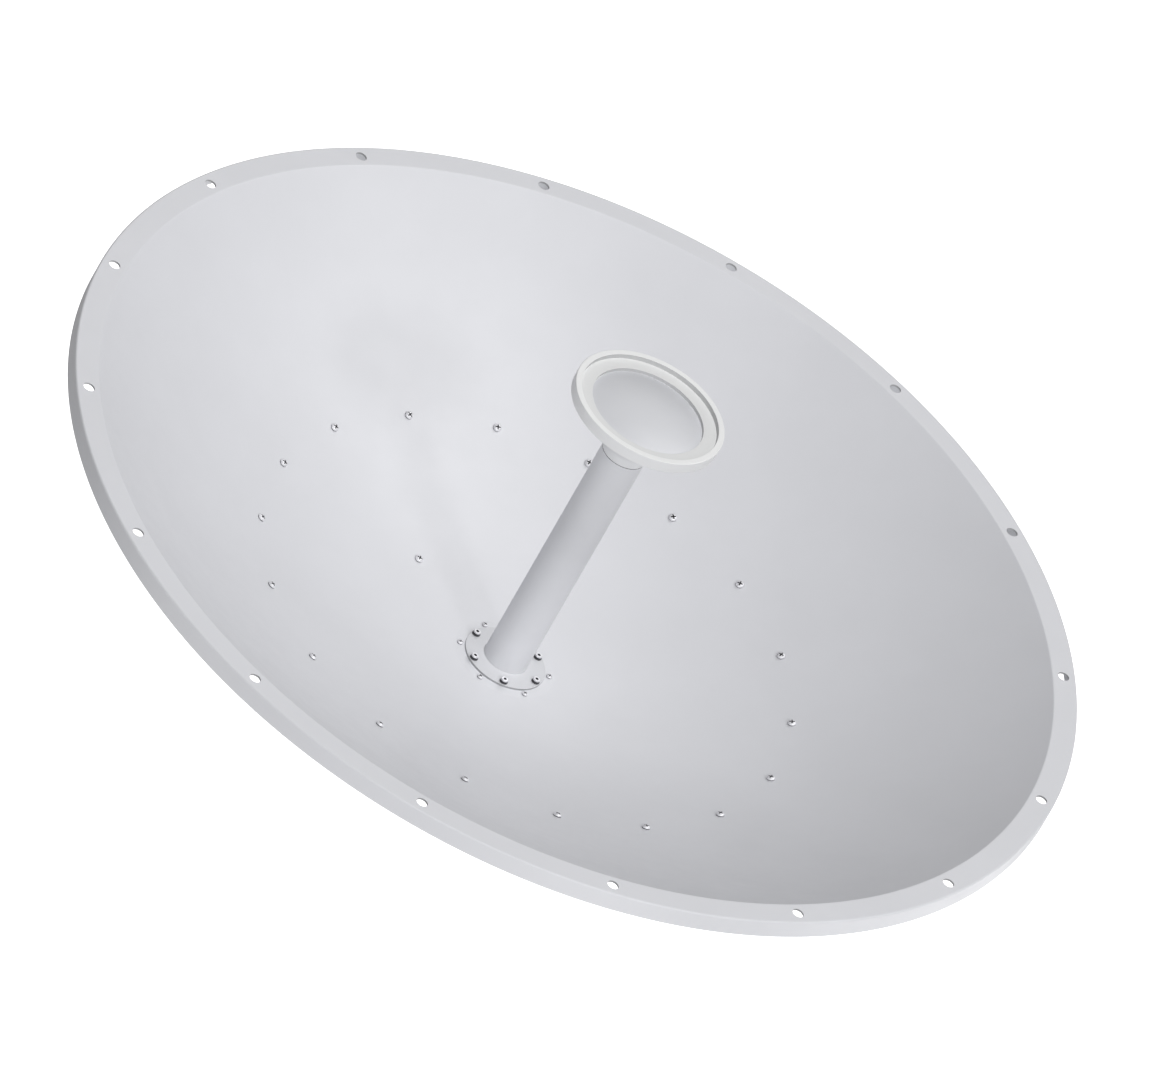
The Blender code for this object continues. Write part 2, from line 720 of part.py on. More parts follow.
def make_yoke():
    """A short rectangular tube that swivels between the lugs and carries the ears' bolts."""
    outer = rounded_box(
        (-YOKE_HALF_WIDTH, -YOKE_HALF_HEIGHT), (YOKE_HALF_WIDTH, YOKE_HALF_HEIGHT), 0.003, 2
    )
    inner = rounded_box(
        (YOKE_SIDE_T - YOKE_HALF_WIDTH, YOKE_TOP_T - YOKE_HALF_HEIGHT),
        (YOKE_HALF_WIDTH - YOKE_SIDE_T, YOKE_HALF_HEIGHT - YOKE_TOP_T),
        0.002, 1,
    )
    mesh = flat_mesh("azimuth_yoke", [outer, inner], YOKE_REAR - YOKE_FRONT)
    place = Matrix.Translation((0, (YOKE_FRONT + YOKE_REAR) / 2, 0)) @ UPRIGHT
    yoke = part("azimuth_yoke", mesh, GALVANISED, place, azimuth_axis)
    across = Matrix.Rotation(math.pi / 2, 4, "Y")
    width = 3 * YOKE_HALF_WIDTH
    height = 3 * YOKE_HALF_HEIGHT
    m8 = BOLT_M8_R + HOLE_PLAY
    lock_z = ELEVATION_Z + ELEVATION_LOCK_ARM
    rods = [
        (Matrix.Translation((0, ELEVATION_Y, ELEVATION_Z)) @ across, m8, width, 12),
        (Matrix.Translation((0, ELEVATION_Y, lock_z)) @ across, m8, width, 12),
        (Matrix.Translation((0, AZIMUTH_Y, 0)), AZIMUTH_BOLT_R + HOLE_PLAY, height, 12),
        (
            Matrix.Translation((0, AZIMUTH_Y - AZIMUTH_LOCK_ARM, height / 4 + lock_z)),
            m8, height / 2, 12,
        ),
    ]
    boolean(yoke, helper("yoke_holes", rods_mesh("yoke_holes", rods), Matrix(), azimuth_axis))


def bolt(name, size, length, world, parent=None):
    """A hexagon bolt: its head stands on z = 0 by one gap, its rod runs down -z."""
    head_r, head_h, rod_r = size
    head = rods_mesh(name, [(Matrix.Translation((0, 0, GAP + head_h / 2)), head_r, head_h, 6)])
    made = part(name, head, BOLT_STEEL, world, parent)
    top = GAP + head_h / 2
    rod = rods_mesh(
        f"{name}_rod", [(Matrix.Translation((0, 0, (top - length) / 2)), rod_r, top + length, 12)]
    )
    boolean(made, helper(rod.name, rod, world, parent), "UNION")


def make_mount_bolts():
    m8 = (M8_HEAD_R, M8_HEAD, BOLT_M8_R)
    m10 = (AZIMUTH_HEAD_R, AZIMUTH_HEAD, AZIMUTH_BOLT_R)
    face = YOKE_HALF_WIDTH + EAR_GAP + EAR_T
    for side, word in ((-1, "left"), (1, "right")):
        turn = Matrix.Rotation(side * math.pi / 2, 4, "Y")
        for name, z in (
            ("elevation_pivot_bolt", ELEVATION_Z),
            ("elevation_lock_bolt", ELEVATION_Z + ELEVATION_LOCK_ARM),
        ):
            place = Matrix.Translation((side * face, ELEVATION_Y, z)) @ turn
            bolt(f"{name}_{word}", m8, ELEVATION_BOLT_LENGTH, place, azimuth_axis)
    lug_top = YOKE_HALF_HEIGHT + GAP + LUG_T
    place = Matrix.Translation((0, AZIMUTH_Y - AZIMUTH_LOCK_ARM, lug_top))
    bolt("azimuth_lock_bolt", m8, AZIMUTH_LOCK_LENGTH, place, azimuth_axis)
    place = Matrix.Translation((0, AZIMUTH_Y, lug_top))
    bolt("azimuth_pivot_bolt", m10, 2 * lug_top + AZIMUTH_BOLT_BELOW, place)


def make_pole_bracket():
    """A back plate with U-bolt holes, and two lugs that hold the yoke between them."""
    u_x = POLE_R + U_ROD_R + GAP
    holes = [
        circle((side * u_x, level * U_BOLT_Z), U_ROD_R + HOLE_PLAY, 10)
        for side in (-1, 1)
        for level in (-1, 1)
    ]
    low = (-BRACKET_HALF_WIDTH, -BRACKET_HALF_HEIGHT)
    high = (BRACKET_HALF_WIDTH, BRACKET_HALF_HEIGHT)
    mesh = flat_mesh("pole_bracket", [rounded_box(low, high, BRACKET_CORNER), *holes], BRACKET_T)
    place = Matrix.Translation((0, BRACKET_FRONT + BRACKET_T / 2, 0)) @ UPRIGHT
    bracket = part("pole_bracket", mesh, GALVANISED, place)
    pivot = (0, AZIMUTH_Y)
    forward = -math.pi / 2
    rear = BRACKET_FRONT + WELD_OVERLAP
    slot = arc_slot(
        pivot, AZIMUTH_LOCK_ARM, BOLT_M8_R + HOLE_PLAY,
        forward - AZIMUTH_RANGE, forward + AZIMUTH_RANGE, 4,
    )
    hole = circle(pivot, AZIMUTH_BOLT_R + HOLE_PLAY, 12)
    lugs = (
        ("lug_top", 1, AZIMUTH_LOCK_ARM + EAR_MARGIN, [hole, slot]),
        ("lug_bottom", -1, BOTTOM_LUG_REACH, [hole]),
    )
    for name, level, reach, cuts in lugs:
        front = AZIMUTH_Y - reach
        nose = LUG_CORNER
        outline = [
            (-LUG_HALF_WIDTH, rear),
            (-LUG_HALF_WIDTH, front + nose),
            *arc((-LUG_HALF_WIDTH + nose, front + nose), nose, math.pi, 1.5 * math.pi, 3)[1:],
            *arc((LUG_HALF_WIDTH - nose, front + nose), nose, 1.5 * math.pi, math.tau, 3),
            (LUG_HALF_WIDTH, rear),
        ]
        z = level * (YOKE_HALF_HEIGHT + GAP + LUG_T / 2)
        lug = helper(name, flat_mesh(name, [outline, *cuts], LUG_T), Matrix.Translation((0, 0, z)))
        boolean(bracket, lug, "UNION")


def make_pole_clamps():
    """At each level: a saddle before the pole, and a U-bolt round it."""
    u_r = POLE_R + U_ROD_R + GAP
    notch_r = POLE_R + GAP
    start = -math.pi / 2 - SADDLE_WRAP
    end = -math.pi / 2 + SADDLE_WRAP
    notch = arc((0, 0), notch_r, start, end, 8)
    front = BRACKET_FRONT + BRACKET_T + GAP
    outline = [
        (-SADDLE_HALF_WIDTH, front),
        (SADDLE_HALF_WIDTH, front),
        (SADDLE_HALF_WIDTH, notch[-1][1]),
        *reversed(notch),
        (-SADDLE_HALF_WIDTH, notch[0][1]),
    ]
    for level, word in ((1, "upper"), (-1, "lower")):
        z = level * U_BOLT_Z
        mesh = flat_mesh(f"pole_saddle_{word}", [outline], 2 * SADDLE_HALF_HEIGHT)
        part(f"pole_saddle_{word}", mesh, GALVANISED, Matrix.Translation((0, 0, z)))
        curve = bpy.data.curves.new(f"u_bolt_{word}", "CURVE")
        curve.dimensions = "3D"
        curve.bevel_depth = U_ROD_R
        curve.bevel_resolution = 2
        curve.use_fill_caps = True
        points = [(-u_r, U_LEG_FRONT), *arc((0, 0), u_r, math.pi, 0, 14), (u_r, U_LEG_FRONT)]
        spline = curve.splines.new("POLY")
        spline.points.add(len(points) - 1)
        for point, (x, y) in zip(spline.points, points):
            point.co = (x, y, 0, 1)
        part(f"u_bolt_{word}", curve, GALVANISED, Matrix.Translation((0, 0, z)))


make_reflector()
make_back_pan()
make_front_screws()
make_flange_bolts()
make_hub()
make_feed_tube()
make_feed_head()
make_ground_lug()
make_radio_bracket()
make_elevation_bracket()
make_yoke()
make_mount_bolts()
make_pole_bracket()
make_pole_clamps()
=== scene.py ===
"""The looks of the dish antenna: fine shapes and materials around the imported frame."""
import json
import math
import random

import bmesh
import bpy
from mathutils import Matrix, Vector

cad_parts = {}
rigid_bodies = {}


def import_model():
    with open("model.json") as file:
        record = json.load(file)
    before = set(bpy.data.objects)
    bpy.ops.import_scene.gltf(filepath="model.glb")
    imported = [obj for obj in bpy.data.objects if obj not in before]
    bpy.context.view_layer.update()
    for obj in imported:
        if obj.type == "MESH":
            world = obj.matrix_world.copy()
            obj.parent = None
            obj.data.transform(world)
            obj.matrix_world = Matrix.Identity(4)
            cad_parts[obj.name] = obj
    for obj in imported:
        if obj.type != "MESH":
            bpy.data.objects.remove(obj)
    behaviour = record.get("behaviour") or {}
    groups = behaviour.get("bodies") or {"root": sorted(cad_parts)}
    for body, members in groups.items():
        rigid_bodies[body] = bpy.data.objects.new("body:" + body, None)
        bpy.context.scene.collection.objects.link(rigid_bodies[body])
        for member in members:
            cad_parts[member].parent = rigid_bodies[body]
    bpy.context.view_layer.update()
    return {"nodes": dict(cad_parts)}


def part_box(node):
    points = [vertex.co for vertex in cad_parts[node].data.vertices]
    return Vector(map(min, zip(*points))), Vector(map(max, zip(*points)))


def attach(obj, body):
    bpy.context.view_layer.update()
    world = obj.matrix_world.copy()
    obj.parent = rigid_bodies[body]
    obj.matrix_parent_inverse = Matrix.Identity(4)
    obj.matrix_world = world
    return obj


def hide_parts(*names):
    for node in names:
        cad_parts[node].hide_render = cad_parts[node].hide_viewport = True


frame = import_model()
NODES = frame["nodes"]
MM = 0.001


# --- where things are, read from the frame ---

def middle(node):
    """The centre of a CAD node's box."""
    low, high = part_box(node)
    return (low + high) / 2


FORWARD = Matrix.Rotation(math.pi / 2, 4, "X")  # turns z towards the dish's front
BACKWARD = Matrix.Rotation(-math.pi / 2, 4, "X")  # turns z towards the pole

REFLECTOR_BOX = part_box("reflector")
DISH_X = middle("feed_tube").x
DISH_Z = middle("feed_tube").z
RIM_Y = REFLECTOR_BOX[0].y
RIM_R = (REFLECTOR_BOX[1].x - REFLECTOR_BOX[0].x) / 2
DISH = Matrix.Translation((DISH_X, RIM_Y, DISH_Z)) @ FORWARD

# sizes of the dish, in the dish frame: x across, y up, z forward from the rim plane
RIM_FLANGE_WIDTH = 25 * MM
APERTURE_R = RIM_R - RIM_FLANGE_WIDTH
BOWL_DEPTH = 175 * MM
FOUR_F = APERTURE_R**2 / BOWL_DEPTH
SHEET = 2 * MM
SKIRT_DEPTH = 19.5 * MM
PAD_R = 52 * MM
HOLE_R = 22.8 * MM
RIM_HOLE_CIRCLE_R = RIM_R - 13.3 * MM
RIM_HOLE_R = 5.8 * MM
RIM_HOLES = 16

# screws on the dish's front
RING_R = 279 * MM
RING_SCREWS = 18
HUB_CIRCLE_R = 46.8 * MM
HUB_SCREWS = 6
GROUND_SCREW_AT = (43.5 * MM, -125.7 * MM)
FLANGE_BOLT_CIRCLE_R = 37.3 * MM
FLANGE_BOLTS = 6
HEAD_GAP = 0.15 * MM

# the back pan's sheet, and the distance between it and the dish
PAN_GAP = 0.3 * MM
PAN_THICK = 2 * MM

# the feed; its plate is the sub-reflector
TUBE_R = 22.5 * MM
SEAM_Z = 107 * MM
SEAM_GAP = 0.35 * MM
FLANGE_FACE_LIFT = 2.8 * MM
CAP_WALL_THICK = 2.2 * MM
CAP_FRONT_Z = 169 * MM
CAP_LIP_DEPTH = 5.4 * MM
CAP_DISC_DEPTH = 3.6 * MM
CAP_FLOOR_Z = CAP_FRONT_Z - CAP_LIP_DEPTH
CAP_DISC_Z = CAP_FLOOR_Z - CAP_DISC_DEPTH
PLATE_THICK = 1.5 * MM
PLATE_Z = CAP_DISC_Z - CAP_WALL_THICK - 0.3 * MM


# --- mesh helpers ---

def piece(name, mesh, body, slot, look, replaced=(), world=None):
    obj = bpy.data.objects.new(name, mesh)
    bpy.context.scene.collection.objects.link(obj)
    obj.matrix_world = world if world is not None else Matrix()
    if not mesh.materials:
        mesh.materials.append(look)
    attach(obj, body)
    if replaced:
        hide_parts(*replaced)
    return obj


def to_mesh(bm, name, sharp=40):
    """A smooth-shaded mesh, sharp where faces meet at more than the given degrees."""
    mesh = bpy.data.meshes.new(name)
    bmesh.ops.recalc_face_normals(bm, faces=bm.faces)
    bm.to_mesh(mesh)
    bm.free()
    mesh.shade_smooth()
    mesh.set_sharp_from_angle(angle=math.radians(sharp))
    return mesh


def fillet(points, closed=True, segments=5, support=0.12):
    """Rounds the corners of a profile. A point is (r, z) or (r, z, radius)."""
    path = []
    count = len(points)
    for i, point in enumerate(points):
        radius = point[2] if len(point) > 2 else 0
        here = Vector(point[:2])
        if radius <= 0 or (not closed and i in (0, count - 1)):
            path.append((here.x, here.y))
            continue
        before = Vector(points[i - 1][:2]) - here
        after = Vector(points[(i + 1) % count][:2]) - here
        half = before.angle(after) / 2
        reach = min(radius / math.tan(half), 0.49 * before.length, 0.49 * after.length)
        radius = reach * math.tan(half)
        start = here + before.normalized() * reach
        end = here + after.normalized() * reach
        centre = here + (before.normalized() + after.normalized()).normalized() * (
            radius / math.sin(half)
        )
        first, last = start - centre, end - centre
        turn = first.angle_signed(last)
        lead = min(support * MM, 0.2 * before.length)
        path.append(tuple(start + before.normalized() * lead))
        for k in range(segments + 1):
            path.append(tuple(centre + Matrix.Rotation(-turn * k / segments, 2) @ first))
        lead = min(support * MM, 0.2 * after.length)
        path.append(tuple(end + after.normalized() * lead))
    return path


def lathe_bm(path, steps, closed=True):
    """Turns a path of (r, z) points about z. Points on the axis become one vertex."""
    bm = bmesh.new()
    rings = []
    for r, z in path:
        if r < 1e-7:
            rings.append([bm.verts.new((0, 0, z))])
            continue
        rings.append([
            bm.verts.new((r * math.cos(angle), r * math.sin(angle), z))
            for angle in (math.tau * s / steps for s in range(steps))
        ])
    pairs = list(zip(rings, rings[1:]))
    if closed:
        pairs.append((rings[-1], rings[0]))
    for a, b in pairs:
        for s in range(steps):
            t = (s + 1) % steps
            if len(a) == 1 and len(b) == 1:
                break
            if len(a) == 1:
                bm.faces.new((a[0], b[s], b[t]))
            elif len(b) == 1:
                bm.faces.new((a[s], b[0], a[t]))
            else:
                bm.faces.new((a[s], b[s], b[t], a[t]))
    return bm


def lathe(name, path, steps, closed=True, sharp=40):
    return to_mesh(lathe_bm(path, steps, closed), name, sharp)


def evaluated_mesh(obj, name, sharp=None):
    """The object's mesh with its modifiers applied; the object is removed."""
    bpy.context.view_layer.update()
    graph = bpy.context.evaluated_depsgraph_get()
    mesh = bpy.data.meshes.new_from_object(obj.evaluated_get(graph))
    mesh.name = name
    bpy.data.objects.remove(obj, do_unlink=True)
    if sharp is not None:
        mesh.shade_smooth()
        mesh.set_sharp_from_angle(angle=math.radians(sharp))
    return mesh


def combined(name, base, *steps, sharp=40):
    """Applies (operation, mesh) pairs to a base mesh as exact Booleans."""
    scene = bpy.context.scene.collection.objects
    obj = bpy.data.objects.new(name, base)
    scene.link(obj)
    helpers = []
    for operation, mesh in steps:
        helper = bpy.data.objects.new(f"{name}_helper", mesh)
        scene.link(helper)
        modifier = obj.modifiers.new(operation, "BOOLEAN")
        modifier.operation = operation
        modifier.solver = "EXACT"
        if mesh.materials:
            modifier.material_mode = "TRANSFER"
        modifier.object = helper
        helpers.append(helper)
    result = evaluated_mesh(obj, name, sharp)
    for helper in helpers:
        bpy.data.objects.remove(helper, do_unlink=True)
    return result


def rods(name, places):
    """Closed cylinders (matrix, radius, length, sides) in one mesh."""
    bm = bmesh.new()
    for matrix, radius, length, sides in places:
        bmesh.ops.create_cone(
            bm, cap_ends=True, segments=sides, radius1=radius, radius2=radius,
            depth=length, matrix=matrix,
        )
    return to_mesh(bm, name)


def box_mesh(name, size, centre, bevel):
    bm = bmesh.new()
    place = Matrix.Translation(centre) @ Matrix.Diagonal((*size, 1))
    bmesh.ops.create_cube(bm, size=1, matrix=place)
    bmesh.ops.bevel(bm, geom=bm.edges[:], offset=bevel, segments=3, profile=0.5, affect="EDGES")
    return to_mesh(bm, name, 60)


def refined(node, body, bevel):
    """The CAD node's own shape in galvanised steel, with its edges rounded."""
    name = f"{node}_fine"
    bm = bmesh.new()
    bm.from_mesh(NODES[node].data)
    bmesh.ops.remove_doubles(bm, verts=bm.verts, dist=0.02 * MM)
    bmesh.ops.dissolve_limit(bm, angle_limit=math.radians(1), verts=bm.verts, edges=bm.edges)
    mesh = to_mesh(bm, name)
    obj = bpy.data.objects.new(name, mesh)
    bpy.context.scene.collection.objects.link(obj)
    modifier = obj.modifiers.new("edges", "BEVEL")
    modifier.width = bevel
    modifier.segments = 3
    modifier.limit_method = "ANGLE"
    modifier.angle_limit = math.radians(40)
    modifier.harden_normals = True
    done = evaluated_mesh(obj, name)
    done.materials.clear()
    return piece(name, done, body, "galvanised_steel", GALVANISED, (node,))


# --- materials ---

def new_material(name):
    made = bpy.data.materials.new(name)
    made.use_nodes = True
    tree = made.node_tree
    return made, tree, tree.nodes["Principled BSDF"]


def noise(tree, scale, detail=3.0, rough=0.55, vector=None):
    """Noise of the given scale per metre, fixed to the object."""
    node = tree.nodes.new("ShaderNodeTexNoise")
    node.inputs["Scale"].default_value = scale
    node.inputs["Detail"].default_value = detail
    node.inputs["Roughness"].default_value = rough
    tree.links.new(vector or coordinates(tree), node.inputs["Vector"])
    return node.outputs["Fac"]


def coordinates(tree, stretch=None):
    """The object's own coordinates, multiplied by stretch along each axis."""
    coord = tree.nodes.new("ShaderNodeTexCoord").outputs["Object"]
    if stretch is None:
        return coord
    scaled = tree.nodes.new("ShaderNodeVectorMath")
    scaled.operation = "MULTIPLY"
    scaled.inputs[1].default_value = stretch
    tree.links.new(coord, scaled.inputs[0])
    return scaled.outputs[0]


def ramp(tree, source, low, high, start=0.3, end=0.7):
    """A colour between low and high, led by source."""
    node = tree.nodes.new("ShaderNodeValToRGB")
    node.color_ramp.elements[0].position = start
    node.color_ramp.elements[1].position = end
    node.color_ramp.elements[0].color = (*low, 1)
    node.color_ramp.elements[1].color = (*high, 1)
    tree.links.new(source, node.inputs["Fac"])
    return node.outputs["Color"]


def spread(tree, source, low, high, start=0.3, end=0.7):
    """A number between low and high, led by source."""
    node = tree.nodes.new("ShaderNodeMapRange")
    node.inputs["From Min"].default_value = start
    node.inputs["From Max"].default_value = end
    node.inputs["To Min"].default_value = low
    node.inputs["To Max"].default_value = high
    tree.links.new(source, node.inputs["Value"])
    return node.outputs["Result"]


def bump(tree, shader, *layers):
    """Layers of (height source, strength, distance in metres), one on the other."""
    normal = None
    for source, strength, distance in layers:
        node = tree.nodes.new("ShaderNodeBump")
        node.inputs["Strength"].default_value = strength
        node.inputs["Distance"].default_value = distance
        tree.links.new(source, node.inputs["Height"])
        if normal is not None:
            tree.links.new(normal, node.inputs["Normal"])
        normal = node.outputs["Normal"]
    tree.links.new(normal, shader.inputs["Normal"])


def lead(tree, shader, colour, roughness):
    """Leads the shader's colour and roughness by two sources."""
    tree.links.new(colour, shader.inputs["Base Color"])
    tree.links.new(roughness, shader.inputs["Roughness"])


def shade(colour, factor):
    return tuple(min(1.0, c * factor) for c in colour)


def powder_coat(name, colour, roughness=0.42, variation=0.02):
    """Painted sheet metal: orange peel, faint handling marks and a slight cloudiness."""
    made, tree, shader = new_material(name)
    clouds = noise(tree, 7.0, 4.0)
    marks = noise(tree, 46.0, 6.0, 0.65)
    lead(
        tree, shader,
        ramp(tree, clouds, shade(colour, 1 - variation), shade(colour, 1 + variation)),
        spread(tree, marks, roughness - 0.05, roughness + 0.08),
    )
    shader.inputs["Coat Weight"].default_value = 0.12
    shader.inputs["Coat Roughness"].default_value = 0.25
    bump(
        tree, shader,
        (noise(tree, 420.0, 2.0, 0.5), 0.10, 0.0004),
        (noise(tree, 1600.0, 2.0, 0.6), 0.08, 0.0001),
    )
    return made


def moulded_plastic(name, colour, roughness=0.5, translucent=0.0):
    """Injection-moulded plastic with a fine spark-eroded texture."""
    made, tree, shader = new_material(name)
    lead(
        tree, shader,
        ramp(tree, noise(tree, 16.0, 3.0), shade(colour, 0.985), shade(colour, 1.015)),
        spread(tree, noise(tree, 90.0, 4.0), roughness - 0.05, roughness + 0.07),
    )
    shader.inputs["Subsurface Weight"].default_value = translucent
    shader.inputs["Subsurface Radius"].default_value = (0.004, 0.004, 0.0038)
    bump(tree, shader, (noise(tree, 2400.0, 3.0, 0.6), 0.12, 0.0001))
    return made


def drawn_tube(name, colour, roughness=0.42, metallic=0.35):
    """A drawn and painted tube: faint lines along its length, slight cloudiness."""
    made, tree, shader = new_material(name)
    lines = noise(tree, 1.0, 3.0, 0.6, coordinates(tree, (900, 900, 6)))
    lead(
        tree, shader,
        ramp(tree, noise(tree, 12.0, 4.0), shade(colour, 0.97), shade(colour, 1.03)),
        spread(tree, lines, roughness - 0.06, roughness + 0.06),
    )
    shader.inputs["Metallic"].default_value = metallic
    bump(tree, shader, (lines, 0.06, 0.0001), (noise(tree, 700.0, 2.0), 0.05, 0.0002))
    return made


def plated_steel(name, colour, roughness=0.3, metallic=1.0):
    """Zinc-plated steel: fine grain, dull patches, slight colour shift."""
    made, tree, shader = new_material(name)
    patches = noise(tree, 160.0, 4.0)
    lead(
        tree, shader,
        ramp(tree, patches, shade(colour, 0.86), shade(colour, 1.12), 0.35, 0.65),
        spread(tree, noise(tree, 500.0, 5.0, 0.7), roughness - 0.08, roughness + 0.16),
    )
    shader.inputs["Metallic"].default_value = metallic
    bump(tree, shader, (noise(tree, 1800.0, 3.0), 0.12, 0.00006))
    return made


def galvanised(name):
    """Hot-dip galvanised steel: spangles of several greys, and a slightly rolling surface."""
    made, tree, shader = new_material(name)
    cells = tree.nodes.new("ShaderNodeTexVoronoi")
    cells.inputs["Scale"].default_value = 130.0
    cells.inputs["Randomness"].default_value = 1.0
    wavy = tree.nodes.new("ShaderNodeVectorMath")
    wavy.operation = "MULTIPLY_ADD"
    drift = tree.nodes.new("ShaderNodeTexNoise")
    drift.inputs["Scale"].default_value = 60.0
    coord = coordinates(tree)
    tree.links.new(coord, drift.inputs["Vector"])
    tree.links.new(drift.outputs["Color"], wavy.inputs[0])
    wavy.inputs[1].default_value = (0.006, 0.006, 0.006)
    tree.links.new(coord, wavy.inputs[2])
    tree.links.new(wavy.outputs[0], cells.inputs["Vector"])
    grey = tree.nodes.new("ShaderNodeSeparateColor")
    tree.links.new(cells.outputs["Color"], grey.inputs["Color"])
    spangle = grey.outputs[0]
    lead(
        tree, shader,
        ramp(tree, spangle, (0.42, 0.44, 0.46), (0.62, 0.64, 0.66), 0.0, 1.0),
        spread(tree, spangle, 0.34, 0.56, 0.0, 1.0),
    )
    shader.inputs["Metallic"].default_value = 0.9
    bump(
        tree, shader,
        (noise(tree, 90.0, 3.0), 0.10, 0.0006),
        (noise(tree, 1500.0, 3.0), 0.08, 0.0001),
    )
    return made


def cast_metal(name, colour, roughness=0.42):
    """Machined aluminium with fine grain along one direction."""
    made, tree, shader = new_material(name)
    grain = noise(tree, 1.0, 3.0, 0.6, coordinates(tree, (1400, 40, 1400)))
    lead(
        tree, shader,
        ramp(tree, noise(tree, 60.0, 4.0), shade(colour, 0.93), shade(colour, 1.05)),
        spread(tree, grain, roughness - 0.08, roughness + 0.1),
    )
    shader.inputs["Metallic"].default_value = 0.9
    bump(tree, shader, (grain, 0.10, 0.0001))
    return made


def rubber(name):
    """Black sheet rubber, dull and slightly uneven."""
    made, tree, shader = new_material(name)
    lead(
        tree, shader,
        ramp(tree, noise(tree, 200.0), (0.018, 0.018, 0.02), (0.045, 0.045, 0.047)),
        spread(tree, noise(tree, 300.0), 0.68, 0.88),
    )
    bump(tree, shader, (noise(tree, 1200.0), 0.2, 0.0001))
    return made


WHITE_PAINT = powder_coat("white_powder_coat", (0.665, 0.67, 0.70))
PAN_PAINT = powder_coat("pan_powder_coat", (0.62, 0.625, 0.65), 0.46, 0.03)
TUBE_PAINT = drawn_tube("feed_tube_paint", (0.68, 0.685, 0.71), 0.36, 0.1)
# painted shade: a darker copy of the tube's paint for the flange and the foot of the tube
FLANGE_SHADE_PAINT = powder_coat("feed_flange_painted_shade", (0.585, 0.59, 0.615))
# painted shade: a dark paint for the walls of the rim holes and the side of the feed flange
EDGE_SHADE_PAINT = powder_coat("edge_painted_shade", (0.33, 0.335, 0.345), 0.5)
CAP_PLASTIC = moulded_plastic("cap_plastic", (0.84, 0.845, 0.845), 0.48)
# painted shade: darker copies of the cap plastic for its outer wall, its recess floor and the
# recess's inner walls
CAP_SIDE_SHADE = moulded_plastic("cap_side_painted_shade", (0.775, 0.78, 0.79), 0.48)
CAP_RECESS_SHADE = moulded_plastic("cap_recess_painted_shade", (0.71, 0.715, 0.715), 0.48)
CAP_WALL_SHADE = moulded_plastic("cap_wall_painted_shade", (0.55, 0.555, 0.56), 0.5)
DISC_FILM = moulded_plastic("cap_disc_film", (0.635, 0.642, 0.67), 0.34)
DIELECTRIC = moulded_plastic("dielectric_plastic", (0.72, 0.725, 0.74), 0.38, 0.05)
SCREW_STEEL = plated_steel("screw_zinc", (0.76, 0.76, 0.79), 0.36, 0.25)
CAP_SCREW_STEEL = plated_steel("cap_screw_zinc", (0.70, 0.70, 0.73), 0.34, 0.5)
# painted shade: a near-black finish for screw recesses, head feet, seams and the flange washers
PAINTED_SHADE = plated_steel("painted_shade_dark", (0.10, 0.10, 0.11), 0.45, 0.6)
MOUNT_STEEL = plated_steel("mount_bolt_zinc", (0.50, 0.50, 0.53), 0.32)
GALVANISED = galvanised("galvanised_steel")
CAST = cast_metal("machined_aluminium", (0.66, 0.67, 0.69))
PLATING = plated_steel("connector_plate", (0.72, 0.68, 0.56), 0.24)
RUBBER = rubber("gasket_rubber")
PTFE = moulded_plastic("connector_insulator", (0.80, 0.79, 0.76), 0.45)


# --- the dish ---

def bowl_z(r):
    """The height of the bowl's front at radius r: a paraboloid with a flat pad inside."""
    return max(r, PAD_R) ** 2 / FOUR_F - BOWL_DEPTH


def bowl_slope(r):
    return 2 * r / FOUR_F if r > PAD_R else 0.0


def behind_bowl(r, distance):
    """The point (r, z) at a distance behind the bowl's front, square to it."""
    slope = bowl_slope(r)
    length = math.hypot(1, slope)
    return (r + distance * slope / length, bowl_z(r) - distance / length)


def spaced(start, end, count):
    return [start + (end - start) * i / count for i in range(count + 1)]


def on_circle(radius, index, count, offset=0.0):
    """One of count places on a circle, counted from its lowest point."""
    angle = math.tau * (index + offset) / count
    return (radius * math.sin(angle), -radius * math.cos(angle))


def seat(x, y, lift):
    """A place on the bowl's front at x, y, with z square to the surface."""
    r = math.hypot(x, y)
    slope = bowl_slope(r)
    normal = Vector((-slope * x / r, -slope * y / r, 1)).normalized()
    turn = Vector((0, 0, 1)).rotation_difference(normal).to_matrix().to_4x4()
    return Matrix.Translation(Vector((x, y, bowl_z(r))) + normal * lift) @ turn


